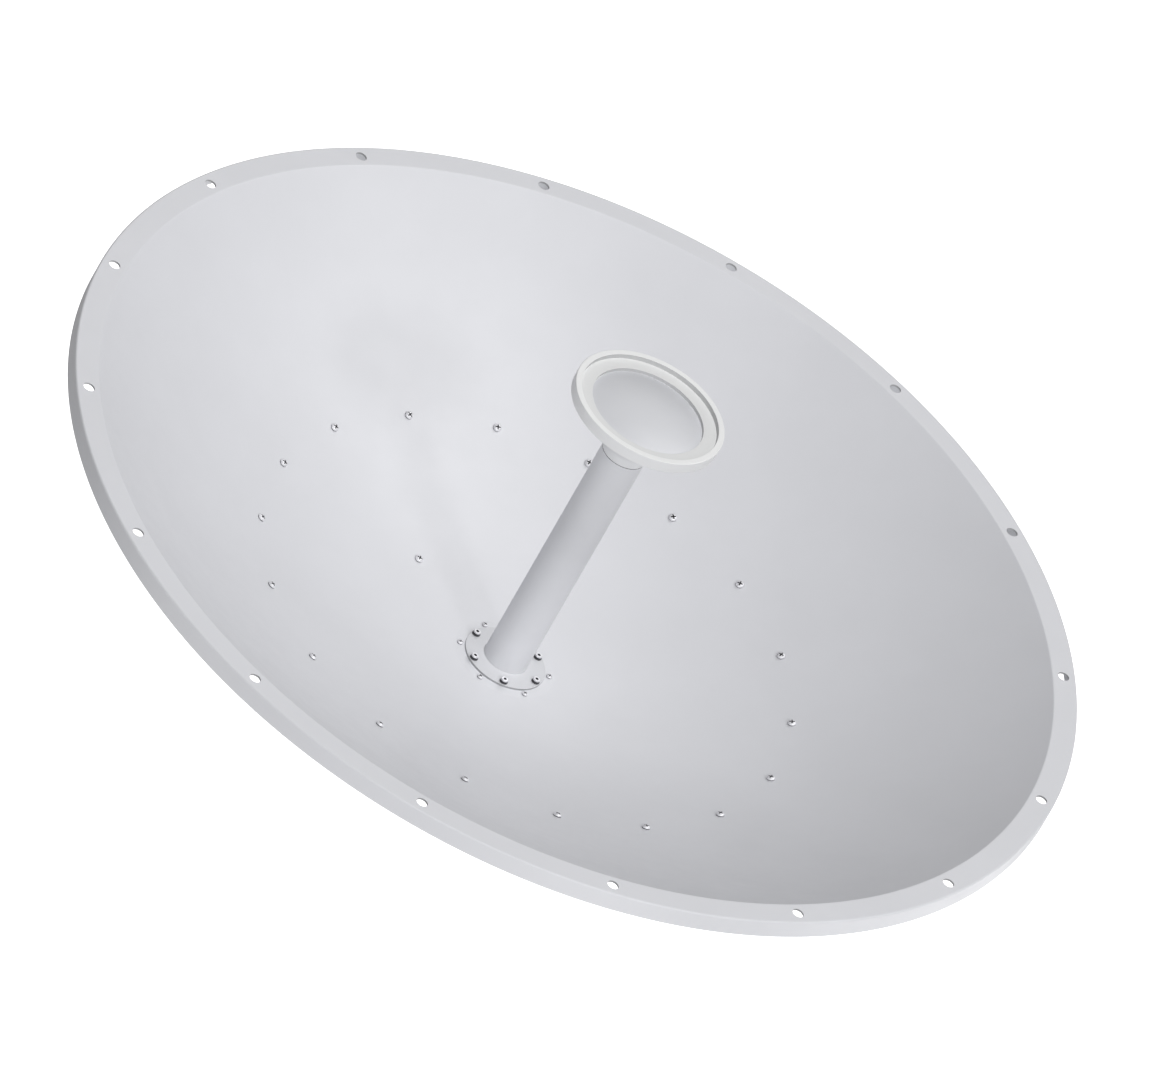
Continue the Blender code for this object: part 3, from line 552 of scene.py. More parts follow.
def make_reflector():
    """One spun sheet: bowl, flat rim flange with its holes, and the skirt turned back."""
    lip = 3.0 * MM
    margin = 4 * MM
    steps = 64
    radii = spaced(PAD_R + margin, APERTURE_R - margin, steps)
    front = [(r, bowl_z(r)) for r in radii]
    back = [behind_bowl(r, SHEET) for r in reversed(radii)]
    pad = bowl_z(0)
    corners = [
        (RIM_R, 0, 2.0 * MM),
        (RIM_R, -SKIRT_DEPTH, 0.9 * MM),
        (RIM_R - SHEET, -SKIRT_DEPTH, 0.9 * MM),
        (RIM_R - SHEET, -SHEET, 1.0 * MM),
        (APERTURE_R + 0.5 * SHEET, -SHEET, lip),
        *back,
        (PAD_R, pad - SHEET, 0.5 * MM),
        (HOLE_R, pad - SHEET),
        (HOLE_R, pad),
        (PAD_R, pad, 6.0 * MM),
        *front,
        (APERTURE_R, 0, lip),
    ]
    base = lathe("reflector_shell", fillet(corners), 288, sharp=50)
    places = []
    for i in range(RIM_HOLES):
        x, y = on_circle(RIM_HOLE_CIRCLE_R, i, RIM_HOLES)
        places.append((Matrix.Translation((x, y, 0)), RIM_HOLE_R, 10 * SHEET, 40))
    holes = rods("rim_holes", places)
    base.materials.append(WHITE_PAINT)
    # the hole walls take the dark edge paint: painted shade inside the rim holes
    holes.materials.append(EDGE_SHADE_PAINT)
    mesh = combined("reflector_shell", base, ("DIFFERENCE", holes), sharp=50)
    piece("reflector_shell", mesh, "dish", "reflector_paint", WHITE_PAINT, ("reflector",), DISH)


def ease(t):
    """A smooth step from 0 to 1."""
    return 3 * t**2 - 2 * t**3


def press_grooves(bm, back_z, inner_r, outer_r):
    """Presses radial grooves into the pan's flat floor, on both faces of the sheet."""
    grooves = 10
    depth = 3.5 * MM
    half_width = 8 * MM
    end = 10 * MM
    floor_skin = 3 * MM
    for vert in bm.verts:
        r = math.hypot(vert.co.x, vert.co.y)
        if not (inner_r < r < outer_r) or vert.co.z > back_z + floor_skin:
            continue
        turn = math.atan2(vert.co.y, vert.co.x) / math.tau * grooves + 0.5
        across = abs(turn - round(turn)) / grooves * math.tau * r
        along = min((r - inner_r) / end, (outer_r - r) / end, 1)
        vert.co.z += depth * ease(max(0.0, 1 - across / half_width)) * ease(along)


def make_back_pan():
    """A pressed steel pan with radial grooves, a turned-in centre hole and an access hole."""
    gap = SHEET + PAN_GAP
    pan_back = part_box("back_pan")[1].y - RIM_Y
    inner_z = PAN_THICK - pan_back
    flat_r = 212 * MM
    hole_r = 75 * MM
    lip = (291 * MM, 285 * MM, RING_R, 273 * MM, 267 * MM)
    against = [behind_bowl(r, gap) for r in reversed(lip)]
    outside = [behind_bowl(r, gap + PAN_THICK) for r in lip]
    bend_r = 6 * MM
    hole_edge_r = 1.0 * MM
    plate = spaced(flat_r - 12 * MM, hole_r + 8 * MM, 26)
    corners = [
        *outside[:-1],
        (*outside[-1], bend_r),
        (flat_r, -pan_back, bend_r),
        *[(r, -pan_back) for r in plate],
        (hole_r, -pan_back, hole_edge_r),
        (hole_r, inner_z, hole_edge_r),
        *[(r, inner_z) for r in reversed(plate)],
        (flat_r - PAN_THICK / 2, inner_z, bend_r),
        (*against[0], bend_r),
        *against[1:],
    ]
    bm = lathe_bm(fillet(corners), 288)
    press_grooves(bm, -pan_back, hole_r + 9 * MM, flat_r - 11 * MM)
    base = to_mesh(bm, "back_pan_shell", 50)
    ground = middle("ground_screw")
    at = Matrix.Translation((ground.x - DISH_X, ground.z - DISH_Z, -pan_back))
    access_r = 26 * MM
    access = rods("access_hole", [(at, access_r, 10 * PAN_THICK, 64)])
    drain_r = 4 * MM
    drain_x = 30 * MM
    drain_y = -238 * MM
    drain_z = -165 * MM
    drains = rods("drain_holes", [
        (Matrix.Translation((x, drain_y, drain_z)), drain_r, 60 * MM, 24)
        for x in (-drain_x, drain_x)
    ])
    holes = (("DIFFERENCE", access), ("DIFFERENCE", drains))
    mesh = combined("back_pan_shell", base, *holes, sharp=50)
    piece("back_pan_shell", mesh, "dish", "pan_paint", PAN_PAINT, ("back_pan",), DISH)


def cross_cutter(name, arm, half_width, depth, top):
    """A tapered cross, wider at its mouth."""
    mouth = (top + 0.3 * MM, 1.12)
    foot = (top - depth, 0.42)
    corners = []
    for quarter in range(4):
        turn = Matrix.Rotation(quarter * math.pi / 2, 2)
        for x, y in ((arm, -half_width), (arm, half_width), (half_width, half_width)):
            corners.append(turn @ Vector((x, y)))
    bm = bmesh.new()
    rings = []
    for z, scale in (mouth, foot):
        rings.append([bm.verts.new((c.x * scale, c.y * scale, z)) for c in corners])
    count = len(corners)
    for i in range(count):
        j = (i + 1) % count
        bm.faces.new((rings[0][i], rings[0][j], rings[1][j], rings[1][i]))
    bm.faces.new(rings[0])
    bm.faces.new(rings[1])
    return to_mesh(bm, name, 20)


def from_axis(point):
    return math.hypot(point.x, point.y)


def darken(mesh, chosen):
    """Paints shade on the chosen faces: the near-black finish of recesses, undersides and
    seams, where shade falls.
    """
    if PAINTED_SHADE.name not in mesh.materials:
        mesh.materials.append(PAINTED_SHADE)
    index = mesh.materials.find(PAINTED_SHADE.name)
    for face in mesh.polygons:
        if chosen(face.center):
            face.material_index = index


def pan_head_mesh(name, head_r, head_h, shank_r, shank):
    """A domed pan head with a cross recess and a threaded shank."""
    dome = [(0, head_h), (0.35 * head_r, 0.99 * head_h), (0.62 * head_r, 0.95 * head_h),
            (0.83 * head_r, 0.82 * head_h), (0.95 * head_r, 0.56 * head_h),
            (head_r, 0.24 * head_h)]
    pitch = 0.7 * MM
    thread = []
    z = -1.0 * MM
    while z > -shank + pitch:
        thread += [(shank_r, z), (0.82 * shank_r, z - pitch / 2)]
        z -= pitch
    path = dome + [(0.985 * head_r, 0.05 * head_h), (0.94 * head_r, 0.0), (shank_r, 0.0)]
    path += thread + [(0.8 * shank_r, -shank), (0, -shank)]
    base = lathe(name, path, 40, closed=False, sharp=35)
    base.materials.append(SCREW_STEEL)
    cutter = cross_cutter(f"{name}_cross", 0.70 * head_r, 0.17 * head_r, 0.75 * head_h, head_h)
    # painted shade in the cross recess, carried over from the cutter
    cutter.materials.append(PAINTED_SHADE)
    mesh = combined(name, base, ("DIFFERENCE", cutter), sharp=35)
    # painted shade round the foot of the head
    darken(mesh, lambda at: at.z < 0.30 * head_h and from_axis(at) > 0.85 * head_r)
    return mesh


def make_screws():
    """The cross-recess screws on the dish's front, each turned by its own amount."""
    luck = random.Random(7)
    m4 = pan_head_mesh("pan_screw_m4", 4.0 * MM, 3.0 * MM, 2.0 * MM, 6.5 * MM)
    m3 = pan_head_mesh("pan_screw_m3", 2.8 * MM, 2.3 * MM, 1.5 * MM, 6.0 * MM)
    places = [
        (f"ring_screw_{i + 1:02d}", m4, on_circle(RING_R, i, RING_SCREWS))
        for i in range(RING_SCREWS)
    ]
    places += [
        (f"hub_screw_{i + 1}", m3, on_circle(HUB_CIRCLE_R, i, HUB_SCREWS))
        for i in range(HUB_SCREWS)
    ]
    places.append(("ground_screw", m4, GROUND_SCREW_AT))
    for node, mesh, (x, y) in places:
        turn = Matrix.Rotation(luck.uniform(0, math.tau), 4, "Z")
        piece(
            f"fine_{node}", mesh, "dish", "screw_steel", SCREW_STEEL, (node,),
            DISH @ seat(x, y, HEAD_GAP) @ turn,
        )


def flange_screw_mesh(washer_t):
    """A button head that sits on its washer, with a hexagon socket and a shank below z = 0."""
    head_r = 3.5 * MM
    head_h = 3.2 * MM
    foot_r = head_r - 0.45 * MM
    top = washer_t + head_h
    shank_r = 2 * MM
    shank = 9.5 * MM
    path = fillet([
        (0, top), (head_r, top, 0.45 * MM), (head_r, top - 1.6 * MM, 0.1 * MM),
        (foot_r, top - 1.9 * MM), (foot_r, washer_t),
        (shank_r, washer_t), (shank_r, -shank, 0.3 * MM), (0, -shank),
    ], closed=False, segments=3, support=0.05)
    base = lathe("flange_screw_body", path, 40, closed=False, sharp=35)
    base.materials.append(CAP_SCREW_STEEL)
    socket_r = 1.75 * MM
    socket_depth = 2.1 * MM
    mouth = Matrix.Translation((0, 0, top))
    socket = rods("flange_socket", [(mouth, socket_r, 2 * socket_depth, 6)])
    # painted shade in the hexagon socket
    socket.materials.append(PAINTED_SHADE)
    screw = combined("flange_cap_screw", base, ("DIFFERENCE", socket), sharp=30)
    # painted shade on the head's lower side, above its washer
    darken(screw, lambda at: washer_t < at.z < top - 1.0 * MM and from_axis(at) > 2.5 * MM)
    return screw


def make_flange_screws():
    """The flange's button-head screws, each on a dark washer that paints the shade under its
    head.
    """
    luck = random.Random(11)
    washer_t = 0.7 * MM
    washer = washer_mesh("flange_washer", 4.2 * MM, 2.2 * MM, washer_t)
    # painted shade: the washer takes the near-black finish
    washer.materials.append(PAINTED_SHADE)
    screw = flange_screw_mesh(washer_t)
    lift = FLANGE_FACE_LIFT + HEAD_GAP
    for i in range(FLANGE_BOLTS):
        x, y = on_circle(FLANGE_BOLT_CIRCLE_R, i, FLANGE_BOLTS, 0.5)
        at = DISH @ seat(x, y, lift) @ Matrix.Rotation(luck.uniform(0, math.tau), 4, "Z")
        node = f"flange_bolt_{i + 1}"
        piece(f"fine_{node}", screw, "dish", "bolt_steel", CAP_SCREW_STEEL, (node,), at)
        piece(f"{node}_washer", washer, "dish", "bolt_steel", PAINTED_SHADE, (), at)


# --- the feed ---

def is_wall(face):
    """Whether the face stands more upright than flat in the dish frame."""
    return abs(face.normal.z) < 0.5


def in_seam(at, low, high):
    """Whether a point lies between two heights and inside the tube's outer surface."""
    return low < at.z < high and from_axis(at) < TUBE_R - 0.12 * MM


def make_feed_tube():
    """A drawn tube with a round flange at its foot; the flange, the tube's foot, the flange's
    edge and the seam at its front end are darkened as painted shade.
    """
    pad = bowl_z(0)
    face_z = pad + FLANGE_FACE_LIFT
    back_z = RIM_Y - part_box("feed_tube")[1].y
    flange_r = 42 * MM
    spigot_r = 22.1 * MM
    bore_r = 20 * MM
    seam_z = SEAM_Z - SEAM_GAP
    mesh = lathe("feed_tube_fine", fillet([
        (TUBE_R, seam_z, 0.35 * MM),
        (TUBE_R, face_z, 1.0 * MM),
        (flange_r, face_z, 0.6 * MM),
        (flange_r, pad + 0.3 * MM, 0.2 * MM),
        (spigot_r, pad + 0.3 * MM),
        (spigot_r, back_z),
        (bore_r, back_z),
        (bore_r, seam_z, 0.3 * MM),
    ]), 128)
    # painted shade: the darker paint on the flange and the tube's foot, the dark edge paint on
    # the flange's side
    for look in (TUBE_PAINT, FLANGE_SHADE_PAINT, EDGE_SHADE_PAINT):
        mesh.materials.append(look)
    for side in mesh.polygons:
        if side.center.z < face_z + 1.1 * MM:
            at_edge = from_axis(side.center) > flange_r - 0.5 * MM and is_wall(side)
            side.material_index = 2 if at_edge else 1
    # painted shade in the seam at the tube's front end
    darken(mesh, lambda at: in_seam(at, SEAM_Z - 0.9 * MM, SEAM_Z))
    piece("feed_tube_fine", mesh, "dish", "feed_tube_finish", TUBE_PAINT, ("feed_tube",), DISH)


def make_feed_cap():
    """A round plastic cap: a raised lip, two steps down and a film disc in its middle, with
    painted shade on its outer wall and in its recess.
    """
    cap_r = 77.8 * MM
    lip_r = 71.6 * MM
    disc_r = 58 * MM
    film = 0.25 * MM
    step_r = 0.25 * MM
    skirt_z = CAP_FRONT_Z - 12 * MM
    back_z = CAP_FLOOR_Z - CAP_WALL_THICK
    mesh = lathe("feed_cap_fine", fillet([
        (0, CAP_DISC_Z - film),
        (disc_r, CAP_DISC_Z - film),
        (disc_r, CAP_FLOOR_Z, step_r),
        (lip_r, CAP_FLOOR_Z, step_r),
        (lip_r, CAP_FRONT_Z, 0.35 * MM),
        (cap_r, CAP_FRONT_Z, 0.7 * MM),
        (cap_r, skirt_z, 0.6 * MM),
        (cap_r - CAP_WALL_THICK, skirt_z, 0.4 * MM),
        (cap_r - CAP_WALL_THICK, back_z),
        (disc_r + CAP_WALL_THICK, back_z),
        (disc_r + CAP_WALL_THICK, CAP_DISC_Z - CAP_WALL_THICK),
        (0, CAP_DISC_Z - CAP_WALL_THICK),
    ], closed=False), 160, closed=False)
    # painted shade: inner walls and recess floor get darker copies of the plastic, and so does
    # the outer wall
    for look in (CAP_PLASTIC, CAP_WALL_SHADE, CAP_RECESS_SHADE, CAP_SIDE_SHADE):
        mesh.materials.append(look)
    edge = 0.2 * MM
    for face in mesh.polygons:
        r = from_axis(face.center)
        if r < lip_r + edge and CAP_DISC_Z - film < face.center.z < CAP_FRONT_Z - edge:
            face.material_index = 1 if is_wall(face) else 2
        elif r > cap_r - 1 * MM and is_wall(face):
            face.material_index = 3
    piece("feed_cap_fine", mesh, "dish", "cap_plastic", CAP_PLASTIC, ("feed_cap",), DISH)

    film_r = disc_r - edge
    film_back = CAP_DISC_Z - film + 0.02 * MM
    mesh = lathe("cap_disc", [
        (0, CAP_DISC_Z),
        (film_r - 0.1 * MM, CAP_DISC_Z),
        (film_r, CAP_DISC_Z - 0.08 * MM),
        (film_r, film_back),
        (0, film_back),
    ], 160, closed=False)
    piece("cap_disc", mesh, "dish", "cap_plastic", DISC_FILM, (), DISH)


def make_sub_reflector():
    """A metal plate behind the cap, its outer ring set slightly back."""
    middle_r = 57.5 * MM
    plate_r = 75 * MM
    set_back = 0.3 * MM
    edge = 0.3 * MM
    mesh = lathe("sub_reflector_fine", fillet([
        (0, PLATE_Z),
        (middle_r, PLATE_Z, edge),
        (plate_r, PLATE_Z - set_back, edge),
        (plate_r, PLATE_Z - PLATE_THICK, edge),
        (0, PLATE_Z - PLATE_THICK),
    ], closed=False), 128, closed=False)
    piece("sub_reflector_fine", mesh, "dish", "cast_aluminium", CAST, ("sub_reflector",), DISH)


def make_dielectric_cone():
    """The plastic neck between tube and plate, with a pointed plug in the tube's bore."""
    top = PLATE_Z - PLATE_THICK - 0.3 * MM
    cone_r = 62 * MM
    plug_r = 19.6 * MM
    tip_z = 70 * MM
    neck_z = SEAM_Z + SEAM_GAP
    mesh = lathe("dielectric_cone_fine", fillet([
        (0, top),
        (cone_r, top, 0.5 * MM),
        (cone_r, 150 * MM, 1.5 * MM),
        (TUBE_R, 120 * MM, 12 * MM),
        (TUBE_R, neck_z, 0.3 * MM),
        (plug_r, neck_z),
        (plug_r, tip_z + 12 * MM, 1 * MM),
        (plug_r / 3, tip_z, 2 * MM),
        (0, tip_z),
    ], closed=False), 128, closed=False)
    mesh.materials.append(DIELECTRIC)
    # painted shade in the seam where the cone meets the tube
    darken(mesh, lambda at: in_seam(at, SEAM_Z, SEAM_Z + 0.9 * MM))
    piece(
        "dielectric_cone_fine", mesh, "dish", "dielectric_plastic", DIELECTRIC,
        ("dielectric_cone",), DISH,
    )


# --- behind the dish ---

def hex_mesh(name, across, height, hole=0.0):
    """A hexagon head, or a nut with a hole, from z = 0 up, its corners cut at 30 degrees."""
    corner = across / math.sqrt(3)
    at = Matrix.Translation((0, 0, height / 2))
    prism = rods(name, [(at, corner, height, 6)])
    flat = across / 2 * 0.97
    rim = corner * 1.05
    fall = (rim - flat) * math.tan(math.radians(30))
    turned = [(0, height), (flat, height), (rim, height - fall)]
    turned += [(rim, fall), (flat, 0), (0, 0)] if hole else [(rim, 0), (0, 0)]
    steps = [("INTERSECT", lathe(f"{name}_cone", turned, 48, closed=False))]
    if hole:
        bore = rods(f"{name}_bore", [(at, hole, height * 2, 24)])
        steps.append(("DIFFERENCE", bore))
    return combined(name, prism, *steps, sharp=25)


def washer_mesh(name, radius, hole, thick):
    edge = 0.2 * MM
    return lathe(name, fillet([
        (radius, thick, edge), (radius, 0, edge), (hole, 0, edge), (hole, thick, edge),
    ], segments=2, support=0.05), 48)


def threaded_rod_mesh(name, radius, length, pitch=1.25 * MM):
    """A round rod from z = 0 down, with thread ridges."""
    path = [(0, 0), (radius, 0)]
    z = -0.2 * MM
    while z > -length + 1.5 * pitch:
        path += [(radius, z), (radius, z - 0.15 * pitch), (0.87 * radius, z - 0.55 * pitch)]
        z -= pitch
    path += [(radius, z), (0.8 * radius, -length), (0, -length)]
    return lathe(name, path, 32, closed=False, sharp=60)


class Fasteners:
    """Meshes of the M4 to M10 heads, nuts and washers, shared by every copy."""

    def __init__(self):
        self.m8_head = hex_mesh("m8_head", 13 * MM, 5.3 * MM)
        self.m8_nut = hex_mesh("m8_nut", 13 * MM, 6.5 * MM, 4.02 * MM)
        self.m8_washer = washer_mesh("m8_washer", 8 * MM, 4.3 * MM, 1.2 * MM)
        self.m10_head = hex_mesh("m10_head", 15.8 * MM, 6.4 * MM)
        self.m10_nut = hex_mesh("m10_nut", 15.8 * MM, 7 * MM, 5.02 * MM)
        self.m6_head = hex_mesh("m6_head", 10 * MM, 4 * MM)
        self.m6_washer = washer_mesh("m6_washer", 6 * MM, 3.2 * MM, 1.0 * MM)
        self.m4_nut = hex_mesh("m4_nut", 7 * MM, 3.2 * MM, 2.02 * MM)


FAST = Fasteners()
ON_M8_WASHER = Matrix.Translation((0, 0, 1.3 * MM))
ON_M6_WASHER = Matrix.Translation((0, 0, 1.1 * MM))


def fastener(name, mesh, body, world, replaced=(), slot="mount_bolt_steel"):
    return piece(name, mesh, body, slot, MOUNT_STEEL, replaced, world)


def make_pivot_bolts():
    """Heads outside the ears, nuts and washers inside the yoke, threaded rods between."""
    ear_face = 38.5 * MM
    yoke_face = 29.7 * MM
    rod = threaded_rod_mesh("m8_rod", 4 * MM, 20 * MM)
    lift = Matrix.Translation((0, 0, 0.3 * MM))
    for word, side in (("left", -1), ("right", 1)):
        outwards = Matrix.Rotation(side * math.pi / 2, 4, "Y")
        inwards = Matrix.Rotation(-side * math.pi / 2, 4, "Y")
        for kind in ("pivot", "lock"):
            node = f"elevation_{kind}_bolt_{word}"
            axis = middle(node)
            at = Matrix.Translation((side * ear_face, axis.y, axis.z)) @ outwards @ lift
            fastener(f"{node}_head", FAST.m8_head, "yoke", at, (node,))
            fastener(f"{node}_rod", rod, "yoke", at)
            inner = Matrix.Translation((side * yoke_face, axis.y, axis.z)) @ inwards
            fastener(f"{node}_washer", FAST.m8_washer, "yoke", inner)
            fastener(f"{node}_nut", FAST.m8_nut, "yoke", inner @ ON_M8_WASHER)


def make_azimuth_bolts():
    """The upright pivot bolt through the lugs, and the lock bolt in the top lug's slot."""
    lug_top = 60 * MM
    head_z = lug_top + 0.3 * MM
    pivot_nut_z = -lug_top - 7.3 * MM
    lock_nut_z = 42.9 * MM
    pivot_y = middle("azimuth_pivot_bolt").y
    at = Matrix.Translation((0, pivot_y, head_z))
    rod = threaded_rod_mesh("m10_rod", 5 * MM, 132 * MM, 1.5 * MM)
    fastener("azimuth_pivot_head", FAST.m10_head, "pole_clamp", at, ("azimuth_pivot_bolt",))
    fastener("azimuth_pivot_rod", rod, "pole_clamp", at)
    nut = Matrix.Translation((0, pivot_y, pivot_nut_z))
    fastener("azimuth_pivot_nut", FAST.m10_nut, "pole_clamp", nut)
    lock_y = middle("azimuth_lock_bolt").y
    at = Matrix.Translation((0, lock_y, head_z))
    rod = threaded_rod_mesh("m8_rod_short", 4 * MM, 18 * MM)
    fastener("azimuth_lock_head", FAST.m8_head, "yoke", at, ("azimuth_lock_bolt",))
    fastener("azimuth_lock_rod", rod, "yoke", at)
    nut = Matrix.Translation((0, lock_y, lock_nut_z))
    fastener("azimuth_lock_nut", FAST.m8_nut, "yoke", nut)


def bent_rod_mesh(name, rod_r, bend_r, leg_end, z):
    """Half a ring of round rod at height z, with straight legs down to y = leg_end."""
    curve = bpy.data.curves.new(name, "CURVE")
    curve.dimensions = "3D"
    curve.bevel_depth = rod_r
    curve.bevel_resolution = 7
    curve.use_fill_caps = True
    steps = 48
    points = [(-bend_r, leg_end)]
    points += [
        (-bend_r * math.cos(math.pi * i / steps), bend_r * math.sin(math.pi * i / steps))
        for i in range(steps + 1)
    ]
    points.append((bend_r, leg_end))
    spline = curve.splines.new("POLY")
    spline.points.add(len(points) - 1)
    for point, (x, y) in zip(spline.points, points):
        point.co = (x, y, z, 1)
    obj = bpy.data.objects.new(f"{name}_rod", curve)
    bpy.context.scene.collection.objects.link(obj)
    return evaluated_mesh(obj, f"{name}_rod", 50)


def make_u_bolts():
    """Each U-bolt is a bent rod with threaded legs, washers and nuts on the bracket."""
    thread_top = -30 * MM
    washer_y = -50.2 * MM
    steel = ("pole_clamp", "galvanised_steel", GALVANISED)
    for node in ("u_bolt_upper", "u_bolt_lower"):
        low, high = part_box(node)
        z = (low.z + high.z) / 2
        rod_r = (high.z - low.z) / 2
        bend_r = (high.x - low.x) / 2 - rod_r
        bend = bent_rod_mesh(node, rod_r, bend_r, thread_top, z)
        piece(f"{node}_rod", bend, *steel, (node,))
        leg = threaded_rod_mesh(f"{node}_leg", rod_r, thread_top - low.y)
        for side, hand in ((-1, "left"), (1, "right")):
            top = Matrix.Translation((side * bend_r, thread_top, z)) @ BACKWARD
            piece(f"{node}_leg_{hand}", leg, *steel, (), top)
            outward = Matrix.Translation((side * bend_r, washer_y, z)) @ FORWARD
            fastener(f"{node}_washer_{hand}", FAST.m8_washer, "pole_clamp", outward)
            fastener(f"{node}_nut_{hand}", FAST.m8_nut, "pole_clamp", outward @ ON_M8_WASHER)


def make_plates():
    """The galvanised plates, brackets and saddles."""
    for node, body, bevel in (
        ("elevation_bracket", "dish", 0.6 * MM),
        ("azimuth_yoke", "yoke", 0.7 * MM),
        ("pole_bracket", "pole_clamp", 0.7 * MM),
        ("pole_saddle_upper", "pole_clamp", 0.8 * MM),
        ("pole_saddle_lower", "pole_clamp", 0.8 * MM),
        ("radio_bracket", "dish", 0.4 * MM),
        ("hub_plate", "dish", 0.3 * MM),
    ):
        refined(node, body, bevel)


def make_plate_bolts():
    """Bolts that hold the elevation bracket and the radio bracket to the pan."""
    lift = 0.1 * MM
    plate_y = -155 * MM
    low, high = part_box("elevation_bracket")
    inset = 14 * MM
    left_inset = 22 * MM
    low_left_inset = 30 * MM  # keeps this bolt on the pan's flat floor
    corners = (
        (low.x + low_left_inset, low.z + inset),
        (low.x + left_inset, high.z - inset),
        (high.x - inset, low.z + inset),
        (high.x - inset, high.z - inset),
    )
    for i, (x, z) in enumerate(corners):
        at = Matrix.Translation((x, plate_y + lift, z)) @ BACKWARD
        fastener(f"bracket_washer_{i + 1}", FAST.m8_washer, "dish", at)
        fastener(f"bracket_bolt_{i + 1}", FAST.m8_head, "dish", at @ ON_M8_WASHER)
    low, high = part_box("radio_bracket")
    foot_y = low.y + 2.5 * MM
    inset_x = 8 * MM
    inset_z = 16 * MM
    corners = [
        (x, z)
        for x in (low.x + inset_x, high.x - inset_x)
        for z in (low.z + inset_z, high.z - inset_z)
    ]
    for i, (x, z) in enumerate(corners):
        at = Matrix.Translation((x, foot_y + lift, z)) @ BACKWARD
        fastener(f"radio_washer_{i + 1}", FAST.m6_washer, "dish", at)
        fastener(f"radio_bolt_{i + 1}", FAST.m6_head, "dish", at @ ON_M6_WASHER)


def make_ring_nuts():
    """A hexagon nut behind the pan's lip on each ring screw."""
    depth = SHEET + PAN_GAP + PAN_THICK + 0.1 * MM
    for i in range(RING_SCREWS):
        x, y = on_circle(RING_R, i, RING_SCREWS)
        at = DISH @ seat(x, y, -depth) @ Matrix.Rotation(math.pi, 4, "X")
        fastener(f"ring_nut_{i + 1:02d}", FAST.m4_nut, "dish", at, (), "screw_steel")


def make_transducer():
    """A machined block with a round flange, a lid, and four screws in each."""
    flange_r = 40 * MM
    flange_t = 4 * MM
    bore_r = 20 * MM
    block_side = 50 * MM
    lid_side = 49 * MM
    lid_t = 3.6 * MM
    lid_space = 4 * MM
    centre = middle("orthomode_transducer")
    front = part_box("orthomode_transducer")[0].y
    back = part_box("orthomode_transducer")[1].y
    flange = lathe("transducer_flange", fillet([
        (flange_r, 0, 0.4 * MM), (flange_r, -flange_t, 0.6 * MM),
        (bore_r, -flange_t), (bore_r, 0),
    ]), 96)
    piece(
        "transducer_flange", flange, "dish", "cast_aluminium", CAST,
        ("orthomode_transducer",), Matrix.Translation((centre.x, front, centre.z)) @ FORWARD,
    )
    block_front = front + flange_t
    length = back - block_front - lid_space
    block = box_mesh(
        "transducer_block", (block_side, length, block_side),
        (centre.x, block_front + length / 2, centre.z), 1.2 * MM,
    )
    piece("transducer_block", block, "dish", "cast_aluminium", CAST)
    lid = box_mesh(
        "transducer_lid", (lid_side, lid_t, lid_side),
        (centre.x, back - lid_t / 2, centre.z), 0.6 * MM,
    )
    piece("transducer_lid", lid, "dish", "cast_aluminium", CAST)

    screw = pan_head_mesh("lid_screw", 2.6 * MM, 1.7 * MM, 1.4 * MM, 5.0 * MM)
    luck = random.Random(3)
    inset = block_side / 2 - 6 * MM
    lid_face = back - 1.75 * MM
    corners = [(x, z) for x in (-inset, inset) for z in (-inset, inset)]
    for i, (x, z) in enumerate(corners):
        at = Matrix.Translation((centre.x + x, lid_face, centre.z + z)) @ BACKWARD
        turn = Matrix.Rotation(luck.uniform(0, 6), 4, "Z")
        piece(f"lid_screw_{i + 1}", screw, "dish", "screw_steel", SCREW_STEEL, (), at @ turn)
    circle_r = 34.5 * MM
    flange_face = block_front + 0.05 * MM
    for i in range(4):
        angle = math.tau * (i + 0.5) / 4
        x, z = circle_r * math.cos(angle), circle_r * math.sin(angle)
        at = Matrix.Translation((centre.x + x, flange_face, centre.z + z)) @ BACKWARD
        piece(f"flange_screw_{i + 1}", screw, "dish", "screw_steel", SCREW_STEEL, (), at)


def connector_meshes():
    """An N-type jack along z: hexagon, threaded barrel, centre pin and insulator."""
    hexagon = hex_mesh("jack_hexagon", 17.8 * MM, 6 * MM)
    outer_r = 7.9 * MM
    mouth_r = 5.6 * MM
    foot_z = 5 * MM
    thread_z = 8 * MM
    mouth_z = 22 * MM
    floor_z = 12 * MM
    pitch = 1.06 * MM
    z = thread_z
    loop = [(0, foot_z), (outer_r, foot_z), (outer_r, z)]
    while z < mouth_z - 1.6 * pitch:
        loop += [(outer_r, z), (outer_r, z + 0.2 * pitch), (outer_r * 0.93, z + 0.6 * pitch)]
        z += pitch
    loop += [(outer_r, z), (outer_r * 0.95, mouth_z)]
    loop += [(mouth_r, mouth_z), (mouth_r, floor_z), (0, floor_z)]
    barrel = lathe("jack_barrel", loop, 64, closed=False, sharp=50)
    inner_z = floor_z + 0.1 * MM
    pin_r = 1.5 * MM
    pin_z = 20 * MM
    pin = lathe("jack_pin", fillet([
        (0, pin_z), (pin_r, pin_z, 0.3 * MM), (pin_r, inner_z), (0, inner_z),
    ], closed=False), 24, closed=False)
    core_r = 4.2 * MM
    core_hole_r = 1.7 * MM
    core_z = 15 * MM
    core = lathe("jack_core", fillet([
        (core_r, core_z, 0.3 * MM), (core_r, inner_z), (core_hole_r, inner_z),
        (core_hole_r, core_z, 0.2 * MM),
    ]), 48)
    return hexagon, barrel, pin, core


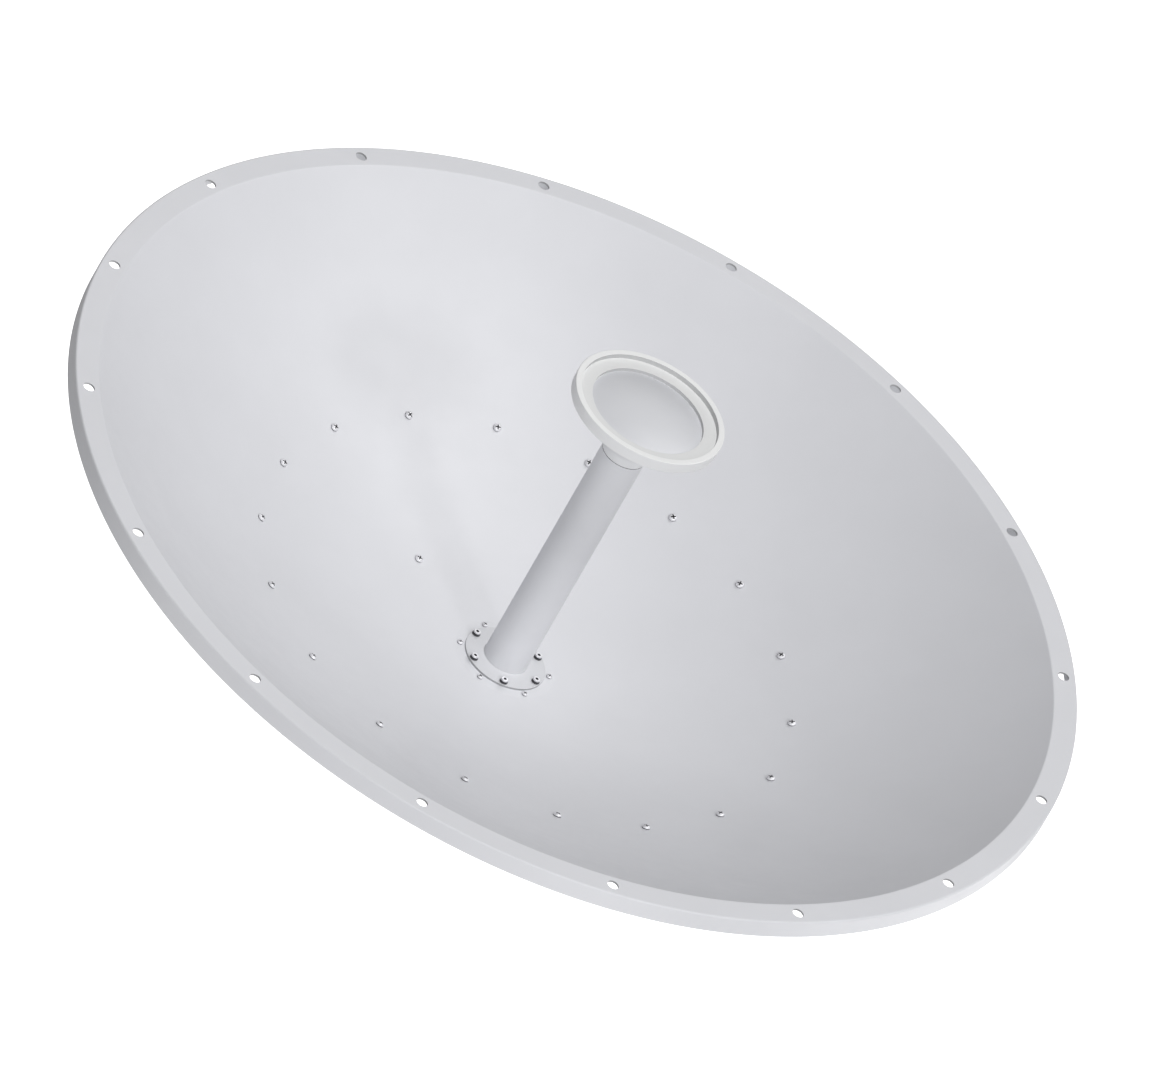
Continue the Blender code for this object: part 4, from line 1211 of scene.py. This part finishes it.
def make_connectors():
    """The two RF connectors on the transducer: one points down, the other to the side."""
    hexagon, barrel, pin, core = connector_meshes()
    half_length = 11 * MM
    for node, way in (("rf_connector_v", (0, 0, -1)), ("rf_connector_h", (1, 0, 0))):
        direction = Vector(way)
        turn = Vector((0, 0, 1)).rotation_difference(direction).to_matrix().to_4x4()
        at = Matrix.Translation(middle(node) - direction * half_length) @ turn
        piece(f"{node}_hexagon", hexagon, "dish", "connector_plating", PLATING, (node,), at)
        piece(f"{node}_barrel", barrel, "dish", "connector_plating", PLATING, (), at)
        piece(f"{node}_pin", pin, "dish", "connector_plating", PLATING, (), at)
        piece(f"{node}_core", core, "dish", "dielectric_plastic", PTFE, (), at)


def dress_kept_nodes():
    """CAD nodes that keep their own shape get their finish."""
    for node, look in (("feed_gasket", RUBBER), ("ground_lug", PLATING)):
        data = NODES[node].data
        data.materials.clear()
        data.materials.append(look)


# --- the stage ---

def make_stage():
    """A wide pale floor below the object, which neither lights nor shades it."""
    half_size = 60.0
    floor_z = -3.2
    bm = bmesh.new()
    bmesh.ops.create_grid(bm, x_segments=2, y_segments=2, size=half_size)
    mesh = to_mesh(bm, "floor")
    made, tree, shader = new_material("floor_paper")
    base = ramp(tree, noise(tree, 0.8, 2.0), (0.93, 0.93, 0.93), (0.95, 0.95, 0.95))
    tree.links.new(base, shader.inputs["Base Color"])
    shader.inputs["Roughness"].default_value = 0.9
    shader.inputs["Specular IOR Level"].default_value = 0.1
    shader.inputs["Emission Color"].default_value = (1, 1, 1, 1)
    shader.inputs["Emission Strength"].default_value = 0.5
    mesh.materials.append(made)
    floor = bpy.data.objects.new("floor", mesh)
    floor.location = (0, 0, floor_z)
    floor.visible_diffuse = False
    floor.visible_glossy = False
    floor.visible_shadow = False
    bpy.context.scene.collection.objects.link(floor)


def soft_sun(name, toward, level, spread_deg=40):
    """A distant lamp; level is what a white matt surface that faces it sends back."""
    data = bpy.data.lights.new(name, "SUN")
    data.energy = level * math.pi
    data.angle = math.radians(spread_deg)
    lamp = bpy.data.objects.new(name, data)
    lamp.rotation_euler = Vector(toward).to_track_quat("Z", "Y").to_euler()
    bpy.context.scene.collection.objects.link(lamp)


def make_sky():
    """An even sky: white to the camera, faint on surfaces, stronger in reflections."""
    seen = 1.0
    on_surfaces = 0.06
    more_in_reflections = 0.34
    world = bpy.data.worlds.new("studio")
    bpy.context.scene.world = world
    world.use_nodes = True
    tree = world.node_tree
    background = tree.nodes["Background"]
    background.inputs["Color"].default_value = (1, 1, 1, 1)
    path = tree.nodes.new("ShaderNodeLightPath")
    level = tree.nodes.new("ShaderNodeMath")
    level.operation = "ADD"
    for i, (ray, low, high) in enumerate((
        ("Is Camera Ray", on_surfaces, seen),
        ("Is Glossy Ray", 0.0, more_in_reflections),
    )):
        tree.links.new(spread(tree, path.outputs[ray], low, high, 0, 1), level.inputs[i])
    tree.links.new(level.outputs[0], background.inputs["Strength"])


def make_lamps():
    """Wide soft lamps in front, above, to the side and behind, and a small one for a shadow."""
    soft_sun("front_side", (-0.5, -0.87, 0), 0.355)
    soft_sun("front_high", (0, -0.7, 0.7), 0.306)
    soft_sun("camera_side", (1, -1, 1), 0.345)
    soft_sun("front_low", (-0.5, -0.6, -0.6), 0.108)
    soft_sun("above", (0.1, 0.3, 0.95), 0.257)
    soft_sun("far_side", (0.9, 0.3, -0.3), 0.282)
    soft_sun("behind", (0, 0.9, 0.4), 0.33)
    soft_sun("behind_side", (-0.9, 0.5, 0.2), 0.33, 60)
    soft_sun("shadow_lamp", (0, -0.62, 0.78), 0.08, 7)


def make_camera():
    """A very long lens along the cube's diagonal, rolled so that the dish hangs head down."""
    frame_width = 1.1103
    shift_right = 0.0022
    shift_down = 0.0075
    data = bpy.data.cameras.new("camera")
    data.lens = 1400
    data.sensor_width = 36
    distance = frame_width * data.lens / data.sensor_width
    data.clip_start = 1.0
    data.clip_end = 2 * distance
    back = Vector((1, -1, 1)).normalized()
    up = Vector((0, -1, -1)).normalized()
    right = up.cross(back)
    aim = Vector((DISH_X, RIM_Y, DISH_Z)) + right * shift_right - up * shift_down
    place = Matrix((right, up, back)).transposed().to_4x4()
    place.translation = aim + back * distance
    camera = bpy.data.objects.new("camera", data)
    camera.matrix_world = place
    bpy.context.scene.collection.objects.link(camera)
    bpy.context.scene.camera = camera
    bpy.context.scene.view_settings.view_transform = "Standard"


def spare_feed_shadow():
    """The feed casts no shadow from the lamps in front, as in the photo."""
    feed = bpy.data.collections.new("feed")
    for name in (
        "feed_tube_fine", "feed_cap_fine", "cap_disc", "sub_reflector_fine",
        "dielectric_cone_fine",
    ):
        feed.objects.link(bpy.data.objects[name])
    for member in feed.collection_objects:
        member.light_linking.link_state = "EXCLUDE"
    for name in ("front_side", "front_high", "camera_side", "front_low"):
        bpy.data.objects[name].light_linking.blocker_collection = feed


make_camera()
make_sky()
make_lamps()
make_stage()
make_reflector()
make_back_pan()
make_screws()
make_flange_screws()
make_feed_tube()
make_feed_cap()
make_sub_reflector()
make_dielectric_cone()
make_plates()
make_plate_bolts()
make_pivot_bolts()
make_azimuth_bolts()
make_u_bolts()
make_ring_nuts()
make_transducer()
make_connectors()
dress_kept_nodes()
spare_feed_shadow()
